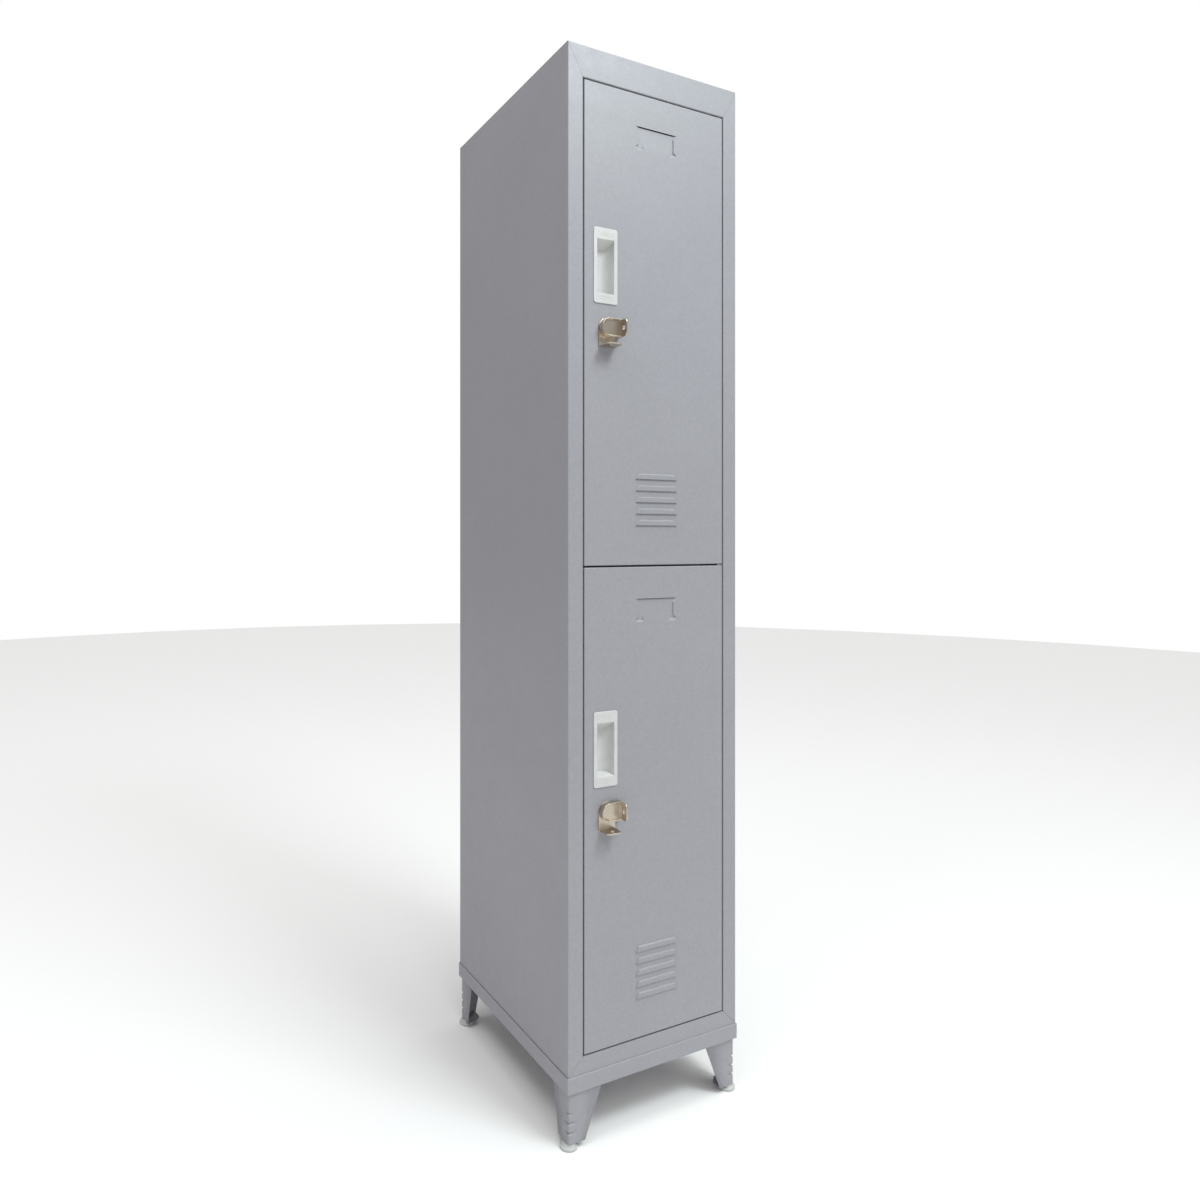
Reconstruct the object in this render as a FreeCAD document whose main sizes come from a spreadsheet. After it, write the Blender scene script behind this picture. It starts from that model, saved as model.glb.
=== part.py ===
"""A two-door steel school locker on four pressed legs, built as a parametric document.

Frame: +Z is up and the floor is at Z = 0. The doors face -Y and hinge on the +X side.
The origin is on the floor, under the centre of the whole object's box.
All lengths are millimetres. Every driving size is a cell of the Dims sheet.
"""
import FreeCAD, Part
import math
import os

import Sketcher

DOC = FreeCAD.newDocument("school_locker")

# Driving dimensions: alias, value, meaning.
DIMENSIONS = [
    ("width", 380, "width of the body"),
    ("depth", 450, "depth of the body"),
    ("body_height", 1800, "height of the body above the skirt"),
    ("body_base", 129, "height of the body's underside above the floor"),
    ("sheet", 0.8, "thickness of body and door sheet"),
    ("bend", 1.6, "outside radius of a fold"),
    ("stile", 31, "width of the front frame beside the doors"),
    ("top_rail", 56, "height of the front frame above the doors"),
    ("bottom_rail", 30, "height of the front frame below the doors"),
    ("rebate", 20, "depth from the front face to the door stop"),
    ("stop_lip", 12, "width of the door stop"),
    ("back_lip", 15, "width of the side panel's fold behind the back panel"),
    ("flange", 12, "width of the welded flanges inside the body"),
    ("door_gap", 2.5, "gap between a door and the frame"),
    ("split_gap", 3.2, "gap between the two doors"),
    ("door_depth", 18, "depth of a door's folded edge"),
    ("door_lip", 8, "width of the fold behind a door's long edges"),
    ("pin_radius", 2.5, "radius of the hinge pins"),
    ("pin_inset", 6, "hinge axis to the door's edge"),
    ("pin_setback", 5, "hinge axis to the door's face"),
    ("pin_reach", 8, "hinge pin beyond the frame, into the door"),
    ("running", 0.05, "radial clearance of a running fit"),
    ("shelf_rise", 10, "shelf surface above the split between the doors"),
    ("shelf_front", 28, "height of the shelf's front fold"),
    ("label_width", 93, "width of the label recess"),
    ("label_tall", 42, "height of the label recess"),
    ("label_drop", 58, "door top to label recess"),
    ("label_sink", 2, "depth of the label recess"),
    ("label_tab", 16.5, "width of the label recess beside its thumb ramp"),
    ("label_channel", 7, "width of the channels beside the name card"),
    ("handle_wide", 50.5, "width of the handle's flange"),
    ("handle_tall", 134, "height of the handle's flange"),
    ("handle_drop", 255, "door top to handle flange"),
    ("handle_inset", 77.5, "body's left side to the handle's centre"),
    ("grip_wide", 36, "width of the finger recess"),
    ("grip_tall", 96, "height of the finger recess"),
    ("grip_lower", 18, "flange below the finger recess"),
    ("handle_proud", 1.8, "handle flange in front of the door"),
    ("moulding", 2, "wall thickness of the moulded handle"),
    ("hasp_inset", 80, "body's left side to the hasp's axis"),
    ("hasp_drop", 432, "door top to the hasp's axis"),
    ("hasp_half", 17.5, "half width of the hasp's base plate"),
    ("hasp_plate", 2, "thickness of the hasp's base plate"),
    ("turn_half", 16.5, "half width of the thumb turn"),
    ("turn_proud", 12.5, "thumb turn's rim in front of the door"),
    ("turn_rim", 2.2, "width of the thumb turn's raised rim"),
    ("turn_sink", 3.5, "depth of the thumb turn's dish"),
    ("lug_thick", 2.5, "thickness of the padlock lugs"),
    ("lug_half", 15.5, "half width of the padlock lugs"),
    ("lug_reach", 28, "padlock lugs in front of the door"),
    ("lug_hole", 4, "radius of the padlock holes"),
    ("lug_hole_reach", 19.5, "padlock holes in front of the door"),
    ("turn_lug_drop", 26, "hasp axis to the turning lug's outer face"),
    ("base_lug_drop", 33.7, "hasp axis to the fixed lug's outer face"),
    ("neck_radius", 9, "radius of the hasp's threaded neck"),
    ("neck_length", 9, "length of the hasp's threaded neck"),
    ("spindle_radius", 5, "radius of the thumb turn's spindle"),
    ("cam_wide", 16, "width of the latch cam"),
    ("cam_reach", 48, "hasp axis to the cam's tip"),
    ("cam_thick", 2, "thickness of the latch cam"),
    ("cam_setback", 21.5, "door face to the cam"),
    ("louver_count", 5, "number of louvers in a door"),
    ("louver_pitch", 21, "distance between louvers"),
    ("louver_wide", 93, "width of a louver's mouth"),
    ("louver_crown", 81, "width of a louver's top edge"),
    ("louver_tall", 10, "height of a louver"),
    ("louver_proud", 5, "louver in front of the door"),
    ("louver_rise", 72, "door bottom to the lowest louver's mouth"),
    ("skirt_tall", 28, "height of the base skirt"),
    ("skirt_overhang", 2, "skirt in front of the body's faces"),
    ("skirt_flange", 32, "width of the skirt's top flange"),
    ("leg_sheet", 1.2, "thickness of the legs"),
    ("leg_inset", 4.5, "leg behind the skirt's face"),
    ("leg_wide", 70, "width of a front leg's front arm at the top"),
    ("leg_side_wide", 52, "width of the legs' other arms at the top"),
    ("leg_foot_wide", 34, "width of a leg's arm at the bottom"),
    ("leg_plate_cut", 14, "cut inner corner of a leg's foot plate"),
    ("leg_lift", 11, "height of the leg's underside above the floor"),
    ("leg_corner", 4, "radius of the leg's outer corner"),
    ("bead_tall", 5, "height of a pressed bead in a leg"),
    ("bead_long", 17, "length of a pressed bead along each arm"),
    ("bead_sink", 0.5, "depth of a pressed bead"),
    ("bead_pitch", 17, "distance between pressed beads"),
    ("bead_first", 17, "leg's underside to the lowest bead"),
    ("foot_inset_side", 7.5, "leg's outer side face to the foot's axis"),
    ("foot_inset_face", 11.5, "leg's outer front or rear face to the foot's axis"),
    ("foot_radius", 16, "radius of the foot pad"),
    ("foot_step", 11.5, "radius of the foot pad's upper tier"),
    ("stud_radius", 3, "radius of the foot's stud"),
    ("foot_nut_across", 10, "width across flats of the foot's weld nut"),
    ("foot_nut_tall", 5, "height of the foot's weld nut"),
    ("stud_top", 34, "top of the foot's stud above the floor"),
    ("bolt_near", 20, "leg's outer face to the nearer leg bolt"),
    ("bolt_far", 55, "leg's outer face to the farther leg bolt of a wide arm"),
    ("bolt_far_side", 40, "leg's outer face to the farther leg bolt of a narrow arm"),
    ("bolt_radius", 3, "radius of the leg bolts"),
    ("bolt_across", 10, "width across flats of the leg bolts"),
    ("bolt_clearance", 0.3, "radial clearance of a bolt hole"),
    ("bolt_head", 4, "height of a leg bolt's head"),
    ("bolt_nut", 5, "height of a leg bolt's nut"),
    ("rod_radius", 8, "radius of the coat rods"),
    ("rod_wall", 1, "wall thickness of the coat rods"),
    ("rod_drop", 60, "compartment ceiling to the coat rod's axis"),
    ("socket_flange", 15, "radius of a rod socket's flange"),
    ("socket_base", 2.5, "thickness of a rod socket's flange"),
    ("socket_deep", 12, "depth of a rod socket"),
    ("bumper_radius", 4, "radius of the door bumpers"),
    ("bumper_thick", 1.7, "thickness of the door bumpers"),
    ("bumper_margin", 100, "door's end to a bumper"),
    ("wall_hole", 3.5, "radius of the wall fixing holes"),
    ("wall_hole_gap", 250, "distance between the wall fixing holes"),
    ("wall_hole_drop", 80, "body's top to the wall fixing holes"),
    ("rib_inset", 96, "door's hinge edge to the stiffener's far edge"),
    ("rib_flange", 12, "width of the stiffener's flanges"),
    ("rib_wide", 56, "width of the door stiffener"),
    ("rib_deep", 13, "depth of the door stiffener"),
    ("rib_margin", 40, "door's ends to the stiffener"),
]


class Size:
    """A length that knows both its number and the sheet expression it comes from."""

    def __init__(self, value, text):
        self.value = float(value)
        self.text = text

    @staticmethod
    def of(other):
        return other if isinstance(other, Size) else Size(other, repr(float(other)))

    def join(self, sign, other, value):
        return Size(value, f"({self.text} {sign} {other.text})")

    def __add__(self, other):
        other = Size.of(other)
        return self.join("+", other, self.value + other.value)

    def __sub__(self, other):
        other = Size.of(other)
        return self.join("-", other, self.value - other.value)

    def __mul__(self, other):
        other = Size.of(other)
        return self.join("*", other, self.value * other.value)

    def __truediv__(self, other):
        other = Size.of(other)
        return self.join("/", other, self.value / other.value)

    def __radd__(self, other):
        return Size.of(other) + self

    def __rsub__(self, other):
        return Size.of(other) - self

    def __rmul__(self, other):
        return Size.of(other) * self

    def __neg__(self):
        return Size(-self.value, f"(0 - {self.text})")


class Dimensions:
    """The spreadsheet of driving dimensions, read as attributes."""

    def __init__(self, rows):
        sheet = DOC.addObject("Spreadsheet::Sheet", "Dims")
        for row, (alias, value, meaning) in enumerate(rows, start=1):
            sheet.set(f"A{row}", alias)
            sheet.set(f"B{row}", str(value))
            sheet.set(f"C{row}", meaning)
            sheet.setAlias(f"B{row}", alias)
            setattr(self, alias, Size(value, f"Dims.{alias}"))
        DOC.recompute()


D = Dimensions(DIMENSIONS)
ZERO = Size.of(0)
SUB_PARTS = []

# Planes of the body, worked out from the sheet.
HALF = D.width / 2
FRONT = (D.lug_reach - D.skirt_overhang - D.depth) / 2
BACK = FRONT + D.depth
BASE = D.body_base
TOP = BASE + D.body_height
OPEN_HALF = HALF - D.stile
OPEN_LOW = BASE + D.bottom_rail
OPEN_HIGH = TOP - D.top_rail
SPLIT = (OPEN_LOW + OPEN_HIGH) / 2
STOP_FACE = FRONT + D.rebate
STOP_REAR = STOP_FACE + D.sheet
BACK_INNER = BACK - D.sheet * 2
DOOR_HALF = OPEN_HALF - D.door_gap
DOOR_TALL = OPEN_HIGH - D.door_gap - SPLIT - D.split_gap / 2
DOOR_TOPS = {"upper": OPEN_HIGH - D.door_gap, "lower": SPLIT - D.split_gap / 2}
PIN_X = DOOR_HALF - D.pin_inset
PIN_Y = FRONT + D.pin_setback
SHELF_TOP = SPLIT + D.shelf_rise
LEG_X = HALF + D.skirt_overhang - D.leg_inset
LEG_FRONT = FRONT - D.skirt_overhang + D.leg_inset
LEG_BACK = BACK + D.skirt_overhang - D.leg_inset
LEG_TOP = BASE - D.sheet
# Corner name: signs of X and Y from the centre, and the turn that brings a leg there.
CORNERS = {
    "front_left": (-1, -1, 0),
    "front_right": (1, -1, 90),
    "rear_right": (1, 1, 180),
    "rear_left": (-1, 1, 270),
}


# ---- document helpers -------------------------------------------------------------------

def bind(thing, prop, size):
    """Tie a property of a document object to the sheet."""
    thing.setExpression(prop, Size.of(size).text)


def place(thing, x=ZERO, y=ZERO, z=ZERO, rotation=None):
    """Give a sub-part its Placement, with the position tied to the sheet."""
    x, y, z = Size.of(x), Size.of(y), Size.of(z)
    spot = FreeCAD.Vector(x.value, y.value, z.value)
    thing.Placement = FreeCAD.Placement(spot, rotation or FreeCAD.Rotation())
    for axis, size in zip("xyz", (x, y, z)):
        bind(thing, f"Placement.Base.{axis}", size)


def new_body(label):
    """A PartDesign body that is one sub-part."""
    body = DOC.addObject("PartDesign::Body", label)
    body.Label = label
    SUB_PARTS.append(body)
    return body


def new_sketch(body, name, plane, offset=ZERO):
    """A sketch on one of the body's own origin planes, moved along that plane's normal."""
    sketch = body.newObject("Sketcher::SketchObject", f"{body.Name}_{name}")
    origin = [item for item in body.Origin.OriginFeatures if item.Role == f"{plane}_Plane"][0]
    sketch.AttachmentSupport = [(origin, "")]
    sketch.MapMode = "FlatFace"
    bind(sketch, "AttachmentOffset.Base.z", offset)
    return sketch


def pin_point(sketch, geometry, end, point):
    """Hold one point of a sketch at a position tied to the sheet."""
    for kind, size in zip(("DistanceX", "DistanceY"), point):
        size = Size.of(size)
        index = sketch.addConstraint(Sketcher.Constraint(kind, -1, 1, geometry, end, size.value))
        sketch.setExpression(f"Constraints[{index}]", size.text)


def draw_polygon(sketch, points):
    """A closed outline of straight lines."""
    points = [(Size.of(u), Size.of(v)) for u, v in points]
    first = sketch.GeometryCount
    corners = [FreeCAD.Vector(u.value, v.value, 0) for u, v in points]
    for start, end in zip(corners, corners[1:] + corners[:1]):
        sketch.addGeometry(Part.LineSegment(start, end), False)
    for index, point in enumerate(points):
        following = first + (index + 1) % len(points)
        sketch.addConstraint(Sketcher.Constraint("Coincident", first + index, 2, following, 1))
        pin_point(sketch, first + index, 1, point)


def draw_circle(sketch, centre, radius):
    """A circle whose centre and radius are tied to the sheet."""
    u, v = Size.of(centre[0]), Size.of(centre[1])
    radius = Size.of(radius)
    spot = FreeCAD.Vector(u.value, v.value, 0)
    circle = Part.Circle(spot, FreeCAD.Vector(0, 0, 1), radius.value)
    index = sketch.addGeometry(circle, False)
    pin_point(sketch, index, 3, (u, v))
    hold = sketch.addConstraint(Sketcher.Constraint("Radius", index, radius.value))
    sketch.setExpression(f"Constraints[{hold}]", radius.text)


def rectangle(u_low, u_high, v_low, v_high):
    """The corners of a rectangle."""
    return [(u_low, v_low), (u_high, v_low), (u_high, v_high), (u_low, v_high)]


def prism(body, name, plane, low, high, polygons=(), circles=(), cut=False):
    """Pad or pocket outlines between two positions along the plane's own axis.

    The axis is Z for XY, Y for XZ and X for YZ. Outlines are given in the plane's axes.
    """
    low, high = Size.of(low), Size.of(high)
    # The XZ plane looks along -Y, so its offsets are negative; a pocket runs against the normal.
    if plane == "XZ":
        start = -low if cut else -high
    else:
        start = high if cut else low
    sketch = new_sketch(body, f"{name}_sketch", plane, start)
    for polygon in polygons:
        draw_polygon(sketch, polygon)
    for centre, radius in circles:
        draw_circle(sketch, centre, radius)
    kind = "PartDesign::Pocket" if cut else "PartDesign::Pad"
    feature = body.newObject(kind, f"{body.Name}_{name}")
    feature.Profile = sketch
    bind(feature, "Length", high - low)
    return feature


def cut_prism(body, name, plane, low, high, polygons=(), circles=()):
    """Pocket outlines and check that material was really removed."""
    DOC.recompute()
    before = body.Shape.Volume
    feature = prism(body, name, plane, low, high, polygons, circles, cut=True)
    DOC.recompute()
    if not body.Shape.Volume < before:
        raise RuntimeError(f"{feature.Name} removed nothing")
    return feature


def fillet(body, name, radius, picks):
    """Round the edges of the body's tip that a test picks out."""
    DOC.recompute()
    base = body.Tip
    names = [f"Edge{i}" for i, edge in enumerate(base.Shape.Edges, start=1) if picks(edge)]
    if not names:
        raise RuntimeError(f"no edge for {name}")
    feature = body.newObject("PartDesign::Fillet", f"{body.Name}_{name}")
    feature.Base = (base, names)
    bind(feature, "Radius", radius)
    DOC.recompute()
    return feature


def along(edge, axis):
    """Whether an edge is a straight line along an axis given as 0, 1 or 2."""
    ends = [vertex.Point for vertex in edge.Vertexes]
    if len(ends) != 2:
        return False
    step = ends[1] - ends[0]
    return abs(abs(step[axis]) - step.Length) < 1e-6


def at_points(axis, points):
    """A test for edges along an axis that stand on one of some points of the other two."""
    others = [index for index in range(3) if index != axis]
    spots = [tuple(Size.of(c).value for c in point) for point in points]

    def test(edge):
        if not along(edge, axis):
            return False
        spot = edge.Vertexes[0].Point
        return any(math.dist((spot[others[0]], spot[others[1]]), s) < 1e-4 for s in spots)

    return test


def at_level(axis, levels):
    """A test for edges that lie wholly at one of some positions along an axis."""
    values = [Size.of(level).value for level in levels]

    def test(edge):
        spots = [vertex.Point[axis] for vertex in edge.Vertexes]
        return any(all(abs(s - value) < 1e-4 for s in spots) for value in values)

    return test


def fold_path(path, side):
    """Offset a path of square folds by the sheet's thickness.

    Returns the closed outline, and the corners outside and inside the folds.
    """
    steps = [(b[0].value - a[0].value, b[1].value - a[1].value) for a, b in zip(path, path[1:])]
    runs = [(du / math.hypot(du, dv), dv / math.hypot(du, dv)) for du, dv in steps]
    normals = [(-dv * side, du * side) for du, dv in runs]
    inner = []
    for index, (u, v) in enumerate(path):
        near = normals[max(index - 1, 0):index + 1]
        shift_u = round(sum(n[0] for n in near))
        shift_v = round(sum(n[1] for n in near))
        inner.append((u + D.sheet * shift_u, v + D.sheet * shift_v))
    convex, concave = [], []
    for index in range(1, len(path) - 1):
        turn = runs[index - 1][0] * runs[index][1] - runs[index - 1][1] * runs[index][0]
        outside = turn * side > 0
        convex.append(path[index] if outside else inner[index])
        concave.append(inner[index] if outside else path[index])
    return path + inner[::-1], convex, concave


def folded(body, name, plane, path, side, low, high):
    """A sheet folded square along a path, with real fold radii."""
    outline, convex, concave = fold_path(path, side)
    prism(body, name, plane, low, high, [outline])
    axis = {"XY": 2, "XZ": 1, "YZ": 0}[plane]
    fillet(body, f"{name}_outside", D.bend, at_points(axis, convex))
    fillet(body, f"{name}_inside", D.bend - D.sheet, at_points(axis, concave))


def revolved(label, profile):
    """A turned piece: a profile of (radius, height) points turned about Z."""
    body = new_body(label)
    sketch = new_sketch(body, "profile", "XZ")
    draw_polygon(sketch, profile)
    feature = body.newObject("PartDesign::Revolution", f"{body.Name}_turned")
    feature.Profile = sketch
    feature.ReferenceAxis = (sketch, ["V_Axis"])
    feature.Angle = 360
    return body


def cylinder(name, radius, tall):
    """A Part cylinder tied to the sheet."""
    solid = DOC.addObject("Part::Cylinder", name)
    bind(solid, "Radius", radius)
    bind(solid, "Height", tall)
    return solid


def hexagon(name, across, tall):
    """A six-sided Part prism with a given width across its flats."""
    solid = DOC.addObject("Part::Prism", name)
    solid.Polygon = 6
    bind(solid, "Circumradius", Size.of(across) / math.sqrt(3))
    bind(solid, "Height", tall)
    return solid


def boolean(kind, name, base, tool):
    """A Part::Cut or Part::Fuse of two objects."""
    result = DOC.addObject(f"Part::{kind}", name)
    result.Base = base
    result.Tool = tool
    return result


def group(label, members):
    """Identical separate solids that share one node."""
    compound = DOC.addObject("Part::Compound", label)
    compound.Links = members
    compound.Label = label
    compound.Placement = FreeCAD.Placement()
    SUB_PARTS.append(compound)
    return compound


# ---- the body ---------------------------------------------------------------------------

def side_panel(label, hand):
    """A side wall with its back fold, front stile, rebate and door stop; hand is -1 or 1."""
    body = new_body(label)
    outer = HALF * hand
    stile_edge = OPEN_HALF * hand
    path = [
        ((HALF - D.back_lip) * hand, BACK),
        (outer, BACK),
        (outer, FRONT),
        (stile_edge, FRONT),
        (stile_edge, STOP_FACE),
        ((OPEN_HALF - D.stop_lip) * hand, STOP_FACE),
    ]
    folded(body, "wall", "XY", path, -hand, BASE + D.sheet, TOP - D.sheet)
    # The frame's corners are mitred, from the body's corner to the door opening's.
    wall_inner = (HALF - D.sheet) * hand
    past_stop = (OPEN_HALF - D.stop_lip - 1) * hand
    high, low = TOP - D.sheet, BASE + D.sheet
    above = [(wall_inner, high), (stile_edge, OPEN_HIGH), (past_stop, OPEN_HIGH), (past_stop, high)]
    below = [(wall_inner, low), (stile_edge, OPEN_LOW), (past_stop, OPEN_LOW), (past_stop, low)]
    cut_prism(body, "mitres", "XZ", FRONT - 1, STOP_REAR + 1, [above, below])
    return body


def add_bracket_slot(body):
    """The slot in the hinge side's rebate that the middle hinge bracket passes through."""
    slot = rectangle(FRONT + 1.4, FRONT + 13.1, SPLIT - 0.7, SPLIT + 0.7)
    cut_prism(body, "bracket_slot", "YZ", OPEN_HALF - 0.5, OPEN_HALF + D.sheet + 0.5, [slot])


def end_panel(label, plate_face, opening_edge, up):
    """The top or bottom panel with its front rail; up is 1 for the top and -1 for the bottom."""
    body = new_body(label)
    path = [(BACK, plate_face), (FRONT, plate_face), (FRONT, opening_edge), (STOP_FACE, opening_edge)]
    folded(body, "plate", "YZ", path, up, -HALF, HALF)
    # The stop hangs from the end of the rail's rebate, between the side panels' stops.
    stop_half = OPEN_HALF - D.stop_lip
    stop_far = opening_edge - D.stop_lip * up
    fold_top = opening_edge + D.sheet * up
    prism(body, "stop", "XZ", STOP_FACE, STOP_REAR, [rectangle(-stop_half, stop_half, stop_far, fold_top)])
    # Mitred rail ends that meet the side panels.
    plate_inner = plate_face - D.sheet * up
    wall_inner = HALF - D.sheet
    ends = []
    for hand in (-1, 1):
        ends.append([
            (HALF * hand + hand, plate_inner),
            (wall_inner * hand, plate_inner),
            (OPEN_HALF * hand, opening_edge),
            (OPEN_HALF * hand, opening_edge - D.stop_lip * up),
            (HALF * hand + hand, opening_edge - D.stop_lip * up),
        ])
    cut_prism(body, "mitres", "XZ", FRONT - 1, STOP_REAR + 1, ends)
    # Welded flanges inside the side walls and the back panel.
    flange_far = plate_inner - D.flange * up
    plate_mid = plate_face - D.sheet * up / 2
    start = STOP_REAR + D.flange
    for hand, name in ((-1, "left_flange"), (1, "right_flange")):
        low = -wall_inner if hand < 0 else wall_inner - D.sheet
        outline = rectangle(start, BACK_INNER - D.flange, flange_far, plate_mid)
        prism(body, name, "YZ", low, low + D.sheet, [outline])
    outline = rectangle(-OPEN_HALF, OPEN_HALF, flange_far, plate_mid)
    prism(body, "rear_flange", "XZ", BACK_INNER - D.sheet, BACK_INNER, [outline])
    return body


def leg_layout(corner):
    """A leg's arm widths, bolts and foot, each as distances from its outer side and end faces."""
    front = CORNERS[corner][1] < 0
    wide = (D.leg_wide if front else D.leg_side_wide, D.leg_side_wide)
    bolts = [(D.bolt_near, D.bolt_far_side), (D.bolt_far if front else D.bolt_far_side, D.bolt_near)]
    return wide, bolts, (D.foot_inset_side, D.foot_inset_face)


def leg_bolt_spots():
    """The plan positions of the leg bolts, two at each corner."""
    spots = []
    for corner, (sign_x, sign_y, _) in CORNERS.items():
        edge_y = LEG_FRONT if sign_y < 0 else LEG_BACK
        for near_x, near_y in leg_layout(corner)[1]:
            spots.append(((LEG_X - near_x) * sign_x, edge_y - near_y * sign_y))
    return spots


def bolt_holes(body, name, low, high):
    """Clearance holes for the leg bolts through a horizontal sheet."""
    radius = D.bolt_radius + D.bolt_clearance
    cut_prism(body, name, "XY", low, high, circles=[(spot, radius) for spot in leg_bolt_spots()])


def hinge_hole(body, name, low, high):
    """The hole that holds a hinge pin in the frame."""
    cut_prism(body, name, "XY", low, high, circles=[((PIN_X, PIN_Y), D.pin_radius)])


def back_panel():
    """The flat back sheet with two wall fixing holes."""
    body = new_body("back_panel")
    # It stops short of the rounded inside corners of the side panels' back folds.
    edge = HALF - D.bend
    outline = rectangle(-edge, edge, BASE + D.sheet, TOP - D.sheet)
    prism(body, "plate", "XZ", BACK_INNER, BACK_INNER + D.sheet, [outline])
    drop = TOP - D.wall_hole_drop
    holes = [((D.wall_hole_gap / 2 * hand, drop), D.wall_hole) for hand in (-1, 1)]
    cut_prism(body, "fixing_holes", "XZ", BACK_INNER - 1, BACK, circles=holes)


def middle_shelf():
    """The shelf that divides the two compartments, folded down behind the doors' split."""
    body = new_body("middle_shelf")
    fold_low = SHELF_TOP - D.shelf_front
    path = [
        (BACK_INNER, SHELF_TOP),
        (STOP_REAR, SHELF_TOP),
        (STOP_REAR, fold_low),
        (STOP_REAR + D.flange, fold_low),
    ]
    wall_inner = HALF - D.sheet
    folded(body, "plate", "YZ", path, 1, -wall_inner, wall_inner)
    flange_low = SHELF_TOP - D.flange
    outline = rectangle(STOP_REAR + D.flange * 2, BACK_INNER - D.flange, flange_low, SHELF_TOP - D.sheet / 2)
    prism(body, "left_flange", "YZ", -wall_inner, -wall_inner + D.sheet, [outline])
    prism(body, "right_flange", "YZ", wall_inner - D.sheet, wall_inner, [outline])


def base_skirt():
    """The band round the body's foot, with the top flange that the body stands on."""
    body = new_body("base_skirt")
    low = BASE - D.skirt_tall
    edge_x = HALF + D.skirt_overhang
    edge_front = FRONT - D.skirt_overhang
    edge_back = BACK + D.skirt_overhang
    prism(body, "band", "XY", low, BASE, [rectangle(-edge_x, edge_x, edge_front, edge_back)])
    corners = [(sx * edge_x, ey) for sx in (-1, 1) for ey in (edge_front, edge_back)]
    fillet(body, "corners", D.bend, at_points(2, corners))
    wall = D.sheet
    inside = rectangle(-edge_x + wall, edge_x - wall, edge_front + wall, edge_back - wall)
    cut_prism(body, "inside", "XY", low - 1, BASE - wall, [inside])
    ring = D.skirt_flange
    hole = rectangle(-edge_x + ring, edge_x - ring, edge_front + ring, edge_back - ring)
    cut_prism(body, "middle", "XY", BASE - wall - 1, BASE + 1, [hole])
    bolt_holes(body, "bolt_holes", BASE - wall - 1, BASE + 1)


# ---- legs and feet ----------------------------------------------------------------------

def leg(corner):
    """A pressed corner leg: two tapered arms, a bolted top plate and a plate for the foot."""
    sign_x, sign_y, turn = CORNERS[corner]
    body = new_body(f"leg_{corner}")
    widths, bolts, foot_at = leg_layout(corner)
    if turn in (90, 270):
        widths, foot_at = widths[::-1], foot_at[::-1]
        bolts = [spot[::-1] for spot in bolts]
    across, along = widths
    tall = LEG_TOP - D.leg_lift
    shoulder = BASE - D.skirt_tall - D.leg_lift
    narrow = D.leg_foot_wide
    arm = [(0, 0), (narrow, 0), (across, shoulder), (across, tall), (0, tall)]
    prism(body, "block", "XZ", 0, along, [arm])
    wide = D.leg_wide + 1
    taper = [(narrow, -1), (narrow, 0), (along, shoulder), (wide, shoulder), (wide, -1)]
    cut_prism(body, "taper", "YZ", -1, wide, [taper])
    fillet(body, "corner", D.leg_corner, at_points(2, [(0, 0)]))
    wall = D.leg_sheet
    inside = rectangle(wall, wide, wall, wide)
    cut_prism(body, "inside", "XY", wall, tall - wall, [inside])
    outline = [
        (-1, -1), (D.bead_long, -1), (D.bead_long, D.bead_sink), (D.bead_sink, D.bead_sink),
        (D.bead_sink, D.bead_long), (-1, D.bead_long),
    ]
    bead = cut_prism(body, "bead", "XY", D.bead_first, D.bead_first + D.bead_tall, [outline])
    beads = body.newObject("PartDesign::LinearPattern", f"{body.Name}_beads")
    beads.Originals = [bead]
    beads.Direction = (bead.Profile[0], ["N_Axis"])
    beads.Occurrences = 3
    bind(beads, "Length", D.bead_pitch * 2)
    body.Tip = beads
    holes = [(spot, D.bolt_radius + D.bolt_clearance) for spot in bolts]
    cut_prism(body, "bolt_holes", "XY", tall - wall - 1, tall + 1, circles=holes)
    cut_prism(body, "foot_hole", "XY", -1, wall + 1, circles=[(foot_at, D.stud_radius + 0.5)])
    slant = narrow - D.leg_plate_cut - 1
    cut_prism(body, "plate_corner", "XY", -1, wall + 1, [[(slant, narrow + 1), (narrow + 1, slant),
                                                         (narrow + 1, narrow + 1)]])
    rotation = FreeCAD.Rotation(FreeCAD.Vector(0, 0, 1), turn)
    place(body, LEG_X * sign_x, LEG_FRONT if sign_y < 0 else LEG_BACK, D.leg_lift, rotation)


def foot_spot(corner):
    """The plan position of a foot's axis."""
    sign_x, sign_y, _ = CORNERS[corner]
    edge_y = LEG_FRONT if sign_y < 0 else LEG_BACK
    return (LEG_X - D.foot_inset_side) * sign_x, edge_y - D.foot_inset_face * sign_y


def foot(corner):
    """A levelling foot: a two-tier moulded pad on a steel stud."""
    seat = D.leg_lift - 0.5
    step = seat * 0.62
    stud_low = Size.of(3)
    rim, inner = D.foot_radius, D.stud_radius
    profile = [
        (0, 0), (rim - 1.5, 0), (rim, 1.5), (rim, step - 1.5), (rim - 1.5, step),
        (D.foot_step, step), (D.foot_step, seat), (inner, seat), (inner, stud_low), (0, stud_low),
    ]
    pad = revolved(f"foot_pad_{corner}", profile)
    stud = cylinder(f"foot_stud_{corner}", D.stud_radius, D.stud_top - stud_low)
    stud.Label = f"foot_stud_{corner}"
    SUB_PARTS.append(stud)
    x, y = foot_spot(corner)
    place(pad, x, y)
    place(stud, x, y, stud_low)


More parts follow.
